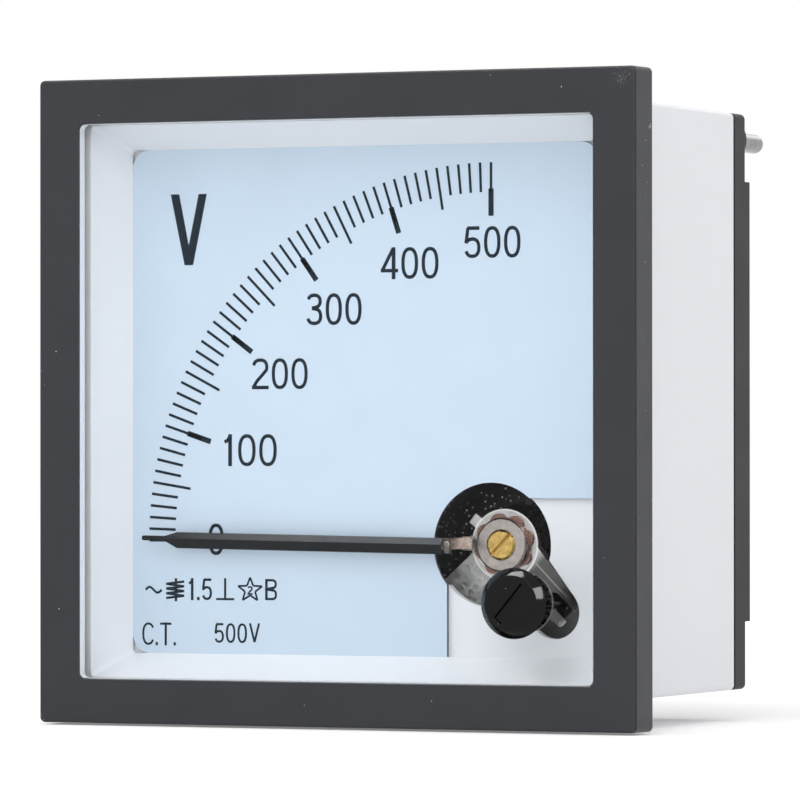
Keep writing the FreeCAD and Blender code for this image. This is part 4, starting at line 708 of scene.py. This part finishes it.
def stroke(points, width):
    """Printed line of even width with square ends, through points on the dial in mm."""
    clear_selection()
    bpy.ops.curve.primitive_nurbs_path_add(radius=MM)
    made = bpy.context.object
    made.data.dimensions = "3D"
    made.data.splines.clear()
    line = made.data.splines.new("POLY")
    line.points.add(len(points) - 1)
    for point, (x, z) in zip(line.points, points):
        point.co = (x * MM, 0, z * MM, 1)
    made.data.bevel_depth = width * MM / 2
    made.data.bevel_resolution = 1
    made.data.use_fill_caps = True
    bpy.ops.object.convert(target="MESH")
    made = bpy.context.object
    made.scale = (1, sizes().ink / (width * MM), 1)
    made.location = (0, print_front() - sizes().ink / 2, 0)
    bpy.ops.object.transform_apply(location=True, rotation=True, scale=True)
    return made


def outline(points, x, z, width, height):
    """Printed shape filled between corners that are given as shares of its box, sizes in mm."""
    clear_selection()
    bpy.ops.curve.primitive_bezier_circle_add(radius=MM)
    made = bpy.context.object
    made.data.dimensions = "2D"
    made.data.fill_mode = "BOTH"
    made.data.extrude = sizes().ink / 2
    made.data.splines.clear()
    line = made.data.splines.new("POLY")
    line.points.add(len(points) - 1)
    line.use_cyclic_u = True
    for point, (across, up) in zip(line.points, points):
        point.co = (across * width * MM, up * height * MM, 0, 1)
    bpy.ops.object.convert(target="MESH")
    made = bpy.context.object
    made.rotation_euler = (math.pi / 2, 0, 0)
    made.location = ((x - width / 2) * MM, print_front() - sizes().ink / 2, (z - height / 2) * MM)
    bpy.ops.object.transform_apply(location=True, rotation=True, scale=True)
    return made


def wave_sign(x, z, width, height):
    """Sign for alternating current: one period of a sine."""
    steps = 16
    points = [(x + width * (i / steps - 0.5), z + height / 2 * math.sin(2 * math.pi * i / steps))
              for i in range(steps + 1)]
    return stroke(points, WAVE_STROKE)


def moving_iron_sign(x, z, width, height):
    """Sign for a moving-iron movement: a coil's zigzag crossed by the iron."""
    left, right, top = x - width / 2, x + width / 2, z + height / 2
    turns = 7
    zigzag = [(left if i % 2 else right, top - height * (0.14 + 0.72 * i / turns)) for i in range(turns + 1)]
    parts = [stroke(pair, IRON_STROKE) for pair in zip(zigzag, zigzag[1:])]
    parts.append(stroke([(x + 0.1, top), (x + 0.1, z - height / 2)], IRON_STROKE))
    return join(parts)


def upright_sign(x, z, width, height):
    """Sign for use with the dial upright."""
    foot = z - height / 2 + 0.12
    base = stroke([(x - width / 2, foot), (x + width / 2, foot)], UPRIGHT_STROKE)
    return join([base, stroke([(x, foot), (x, z + height / 2)], UPRIGHT_STROKE)])


def star_sign(x, z, width, height):
    """Star of the proof-voltage test, with its figure inside."""
    corners = 10
    points = []
    for i in range(corners + 1):
        reach = 0.525 if i % 2 == 0 else 0.2205
        turn = math.radians(90 + 360 / corners * i)
        points.append((x + width * reach * math.cos(turn), z - 0.1 + height * reach * math.sin(turn)))
    parts = [stroke(pair, STAR_STROKE) for pair in zip(points, points[1:])]
    parts.append(lettering("2", x, z - 0.14, 0.66, 0.95, 0.22))
    return join(parts)


def turned(profile, x, z, steps=96):
    """Solid of revolution about a line along Y through x, z, from (radius, y) points in mm, front to back."""
    clear_selection()
    bpy.ops.mesh.primitive_circle_add(
        vertices=steps, radius=MM, fill_type="NOTHING", rotation=(math.pi / 2, 0, 0))
    made = bpy.context.object
    bpy.ops.object.transform_apply(location=True, rotation=True, scale=True)
    bpy.ops.object.mode_set(mode="EDIT")
    bpy.ops.mesh.select_all(action="SELECT")
    radius, y = profile[0]
    bpy.ops.transform.resize(value=(radius, 1, radius), center_override=(0, 0, 0))
    bpy.ops.transform.translate(value=(0, y * MM, 0))
    bpy.ops.mesh.edge_face_add()
    for following, further in profile[1:]:
        bpy.ops.mesh.extrude_region_move(TRANSFORM_OT_translate={"value": (0, (further - y) * MM, 0)})
        grow = following / radius
        bpy.ops.transform.resize(value=(grow, 1, grow), center_override=(0, 0, 0))
        radius, y = following, further
    bpy.ops.mesh.select_all(action="SELECT")
    bpy.ops.mesh.normals_make_consistent(inside=False)
    bpy.ops.object.mode_set(mode="OBJECT")
    made.location = (x * MM, 0, z * MM)
    bpy.ops.object.transform_apply(location=True, rotation=True, scale=True)
    return made


def cut_slot(made, x, z, width, reach, degrees, front, back):
    """Cut a screwdriver slot into the front of a turned piece, sizes in mm."""
    clear_selection()
    bpy.ops.mesh.primitive_cube_add(
        size=1, location=(x * MM, (front + back) / 2 * MM, z * MM), rotation=(0, -math.radians(degrees), 0))
    cutter = bpy.context.object
    cutter.scale = (2 * reach * MM, (back - front) * MM, width * MM)
    bpy.ops.object.transform_apply(location=True, rotation=True, scale=True)
    clear_selection()
    made.select_set(True)
    bpy.context.view_layer.objects.active = made
    boolean = made.modifiers.new("slot", "BOOLEAN")
    boolean.object = cutter
    boolean.operation = "DIFFERENCE"
    boolean.solver = "EXACT"
    bpy.ops.object.modifier_apply(modifier=boolean.name)
    bpy.data.objects.remove(cutter)
    return made


def soften(made, width):
    """Round the sharp edges of a piece and shade it smooth between them."""
    clear_selection()
    made.select_set(True)
    bpy.context.view_layer.objects.active = made
    bevel = made.modifiers.new("edges", "BEVEL")
    bevel.width = width * MM
    bevel.segments = ROUND_SEGMENTS
    bevel.limit_method = "ANGLE"
    bevel.angle_limit = math.radians(ROUND_LIMIT)
    bpy.ops.object.modifier_apply(modifier=bevel.name)
    bpy.ops.object.shade_smooth_by_angle(angle=math.radians(SMOOTH_LIMIT))
    return made


def lay_floor():
    """Plain white paper below the meter, which mirrors and clear pieces see as pure white."""
    clear_selection()
    bpy.ops.mesh.primitive_plane_add(size=FLOOR_SIDE, location=(0, 0, CAD_BOX[0][2] - FLOOR_GAP * MM))
    floor = bpy.context.object
    floor.name = "floor"
    paper = Finish("white_paper", linear("#ffffff"), 0.9, gloss=0.0)
    tree = paper.tree
    path = add(tree, "ShaderNodeLightPath")
    bounced = add(tree, "ShaderNodeMath", {
        0: path.outputs["Is Glossy Ray"], 1: path.outputs["Is Transmission Ray"]},
        operation="MAXIMUM").outputs[0]
    white = add(tree, "ShaderNodeEmission", {"Strength": 1.0})
    mirrored = add(tree, "ShaderNodeMixShader", {0: bounced, 1: paper.shader.outputs[0], 2: white.outputs[0]})
    lift = add(tree, "ShaderNodeMath", {
        0: path.outputs["Is Camera Ray"], 1: FLOOR_LIFT}, operation="MULTIPLY").outputs[0]
    glow = add(tree, "ShaderNodeEmission", {"Strength": lift})
    seen = add(tree, "ShaderNodeAddShader", {0: mirrored.outputs[0], 1: glow.outputs[0]})
    tree.links.new(seen.outputs[0], paper.end.inputs["Surface"])
    floor.data.materials.append(paper.material)


def light_world(scene):
    """Soft light from all round, brighter from above, and pure white where it is seen or mirrored."""
    world = bpy.data.worlds.new("studio")
    world.use_nodes = True
    scene.world = world
    tree = world.node_tree
    tree.nodes.clear()
    path = add(tree, "ShaderNodeLightPath")
    seen = path.outputs["Is Camera Ray"]
    for kind in ("Is Glossy Ray", "Is Transmission Ray"):
        seen = add(tree, "ShaderNodeMath", {0: seen, 1: path.outputs[kind]}, operation="MAXIMUM").outputs[0]
    around = add(tree, "ShaderNodeTexCoord").outputs["Generated"]
    side = add(tree, "ShaderNodeSeparateXYZ", {"Vector": around})
    soft = add(tree, "ShaderNodeMapRange", {
        "Value": side.outputs["Z"], "From Min": -1.0, "To Min": WORLD_LOW, "To Max": WORLD_HIGH}).outputs[0]
    strength = add(tree, "ShaderNodeMix", {0: seen, 2: soft, 3: 1.0}, data_type="FLOAT").outputs[0]
    light = add(tree, "ShaderNodeBackground", {"Color": (1, 1, 1, 1), "Strength": strength})
    add(tree, "ShaderNodeOutputWorld", {"Surface": light.outputs[0]})


def hang_lamps():
    """Square lamps that face the meter."""
    for name, place, size, power, lights in LAMPS:
        clear_selection()
        facing = Vector(place).to_track_quat("Z", "Y").to_euler()
        bpy.ops.object.light_add(type="AREA", location=place, rotation=facing)
        lamp = bpy.context.object
        lamp.name = name
        lamp.data.size = size
        lamp.data.energy = power
        lamp.visible_camera = False
        lamp.visible_diffuse = lights


def set_camera(scene):
    """Camera at the photograph's place, fitted to its edges."""
    clear_selection()
    bpy.ops.object.camera_add(location=CAMERA_PLACE, rotation=[math.radians(turn) for turn in CAMERA_TURN])
    camera = bpy.context.object
    camera.data.lens = CAMERA_LENS
    camera.data.sensor_width = CAMERA_SENSOR
    camera.data.clip_start = CAMERA_NEAR
    scene.camera = camera


class METER_OT_stage(bpy.types.Operator):
    """White floor, soft light and the camera at the front right"""
    bl_idname = "meter.stage"
    bl_label = "Stage"

    def execute(self, context):
        context.scene.view_settings.view_transform = "Standard"
        lay_floor()
        light_world(context.scene)
        hang_lamps()
        set_camera(context.scene)
        return {"FINISHED"}


class METER_OT_housing(bpy.types.Operator):
    """Finishes of the bezel, pane, tray, case and rear cover"""
    bl_idname = "meter.housing"
    bl_label = "Housing"

    def execute(self, context):
        c = colours()
        # the white mouldings are semi-gloss and even, the rear cover satin with a coarse grain
        dress("bezel", bezel_plastic(c.bezel))
        # the tray's white is drawn lighter than the case's, as painted light for the shaded recess
        dress("dial_tray", moulded("tray_white_abs_painted_light", c.tray, 0.34, 0.5, 0.004, 0.005).material)
        dress("case_shell", moulded("case_white_abs", c.white, 0.34, 0.5, 0.004, 0.005).material)
        dress("dial_plate", dial_lacquer(c.dial))
        dress("rear_cover", moulded("grained_black_abs", c.cover, 0.5, 0.35, 0.04, 0.1, 0.2).material)
        dress("window", clear_pane())
        return {"FINISHED"}


class METER_OT_print(bpy.types.Operator):
    """Printed scale, numbers and signs of the dial"""
    bl_idname = "meter.print"
    bl_label = "Dial print"

    def execute(self, context):
        s = sizes()
        ink = screen_ink(colours().print_ink)
        lines = (
            scale_line(s.scale_radius, s.short_end, s.line_width, s.divisions, s.scale_sweep),
            scale_line(s.short_end, s.middle_end, s.line_width, MIDDLE_STEPS, s.scale_sweep * MIDDLE_SHARE),
            scale_line(s.thick_start, s.long_end, s.thick_width, LONG_STEPS, s.scale_sweep),
        )
        settle(join(lines), "scale_lines", ink, "housing")
        settle(join([lettering(*row) for row in FIGURES]), "scale_figures", ink, "housing")
        notes = [lettering(*row) for row in NOTES]
        notes.append(outline(UNIT_LETTER, *UNIT_PLACE))
        notes.append(wave_sign(*WAVE_PLACE))
        notes.append(moving_iron_sign(*IRON_PLACE))
        notes.append(upright_sign(*UPRIGHT_PLACE))
        notes.append(star_sign(*STAR_PLACE))
        settle(join(notes), "dial_signs", ink, "housing")
        return {"FINISHED"}


class METER_OT_movement(bpy.types.Operator):
    """Finishes of the bearing, bridge, coil and moving system"""
    bl_idname = "meter.movement"
    bl_label = "Movement"

    def execute(self, context):
        c = colours()
        # plated and rolled metals are cool mirrors clouded by their crystals, turned brass shows its rings,
        # and the jewels are deep red and glassy
        zinc = plated_steel("bright_zinc_plate", c.zinc)
        brass = turned_metal("turned_brass", c.brass)
        bronze = spring_strip("rolled_bronze_strip", c.bronze)
        nylon = dusty_nylon()
        iron = plated_steel("annealed_iron", linear("#8c8d90"), 0.36)
        ruby = lacquered("polished_ruby", linear("#8a1230"), 0.1).material
        finishes = {
            "cover_screws": zinc,
            "mounting_studs": plated_steel("polished_zinc_stud", linear("#8e8d8b"), 0.16, 0.3),
            "terminal_washers": zinc,
            "spring_washers": zinc,
            "terminal_studs": brass,
            "terminal_nuts": brass,
            "solder_tags": plated_steel("tin_plate", linear("#cfcdc4")),
            "series_resistor": moulded("cement_coating", linear("#aebf9f"), 0.5, 0.2, 0.01, 0.06).material,
            "lead_wires": plated_steel("tinned_wire", linear("#cbc8bf")),
            "movement_frame": galvanised_sheet(c.galvanised),
            "frame_screws": zinc,
            "regulator_bush": brass,
            "front_jewel_screw": turned_metal("worn_brass", c.brass, 0.24, 0.4),
            "front_jewel": ruby,
            "rear_jewel": ruby,
            "rear_jewel_screw": brass,
            "rear_lock_nut": brass,
            "ring_nut": plated_steel("tumbled_steel", c.nut, 0.3, 0.22),
            "lobed_washer": spring_strip("stained_bronze_washer", c.washer),
            "coil_bobbin": nylon,
            "coil_winding": wound_wire(),
            "fixed_iron": iron,
            "moving_iron": iron,
            "damping_magnet": plated_steel("ground_magnet_alloy", linear("#6c6d70"), 0.4),
            "adjuster_retainer": spring_strip("dark_spring_steel", linear("#6d6a68")),
            "regulator": regulator_steel(c.disc),
            "hairspring": bronze,
            "pointer": lacquered("black_lacquered_blade", c.pointer, 0.28, 0.15).material,
            "pointer_stem": spring_strip("tinned_bronze_strip", c.stem),
            "pointer_hub": brass,
            "hairspring_collet": brass,
            "spindle": zinc,
            "balance_weight": turned_metal("blackened_brass", linear("#2c2a28")),
            "damping_vane": plated_steel("rolled_aluminium", linear("#d6d7d8"), 0.3),
        }
        for node, material in finishes.items():
            dress(node, material)
        clamp = soften(upright_slab(*(v * MM for v in BLADE_CLAMP), CLAMP_THICKNESS * MM), CLAMP_ROUND)
        tin = plated_steel("folded_tin_plate", linear("#6f6b66"), 0.3, 0.4)
        settle(clamp, "blade_clamp", tin, "pointer")
        return {"FINISHED"}


class METER_OT_adjuster(bpy.types.Operator):
    """Zero adjuster: slotted cap with a wide bevel, its shank and its eccentric pin"""
    bl_idname = "meter.adjuster"
    bl_label = "Zero adjuster"

    def execute(self, context):
        low, high = (Vector(corner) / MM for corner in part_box("zero_adjuster"))
        x, z = (low.x + high.x) / 2, (low.z + high.z) / 2
        face = low.y
        base = face + CAP_HEIGHT
        cap = turned([(CAP_FACE_RADIUS, face), (CAP_RADIUS, base - CAP_EDGE), (CAP_RADIUS, base),
                      (SHANK_RADIUS, base), (SHANK_RADIUS, SHANK_BACK)], x, z)
        cut_slot(cap, x, z, SLOT_WIDTH, SLOT_REACH, SLOT_ANGLE, face - SLOT_OVERRUN, face + SLOT_DEPTH)
        soften(cap, CAP_ROUND)
        aside = PIN_OFFSET * math.sqrt(0.5)
        pin_front = SHANK_BACK - PIN_SINK
        pin = turned([(PIN_RADIUS, pin_front), (PIN_RADIUS, high.y)], x + aside, z - aside, PIN_STEPS)
        black = polished_cap(colours().cap)
        cap = settle(join([cap, pin]), "adjuster_cap", black, "zero_adjuster")
        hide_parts("zero_adjuster")
        return {"FINISHED"}


STEPS = (METER_OT_stage, METER_OT_housing, METER_OT_print, METER_OT_movement, METER_OT_adjuster)


class METER_PT_panel(bpy.types.Panel):
    """Steps that dress the meter"""
    bl_label = "Analog panel meter"
    bl_idname = "METER_PT_panel"
    bl_space_type = "VIEW_3D"
    bl_region_type = "UI"
    bl_category = "Meter"

    def draw(self, context):
        for step in STEPS:
            self.layout.operator(step.bl_idname)
        for group in (context.scene.meter_sizes, context.scene.meter_colours):
            for key in group.__annotations__:
                self.layout.prop(group, key)


CLASSES = (MeterSizes, MeterColours) + STEPS + (METER_PT_panel,)


def register():
    for each in CLASSES:
        bpy.utils.register_class(each)
    bpy.types.Scene.meter_sizes = PointerProperty(type=MeterSizes)
    bpy.types.Scene.meter_colours = PointerProperty(type=MeterColours)


def unregister():
    del bpy.types.Scene.meter_sizes
    del bpy.types.Scene.meter_colours
    for each in reversed(CLASSES):
        bpy.utils.unregister_class(each)


def main():
    register()
    for step in STEPS:
        group, name = step.bl_idname.split(".")
        getattr(getattr(bpy.ops, group), name)()


if __name__ == "__main__":
    main()
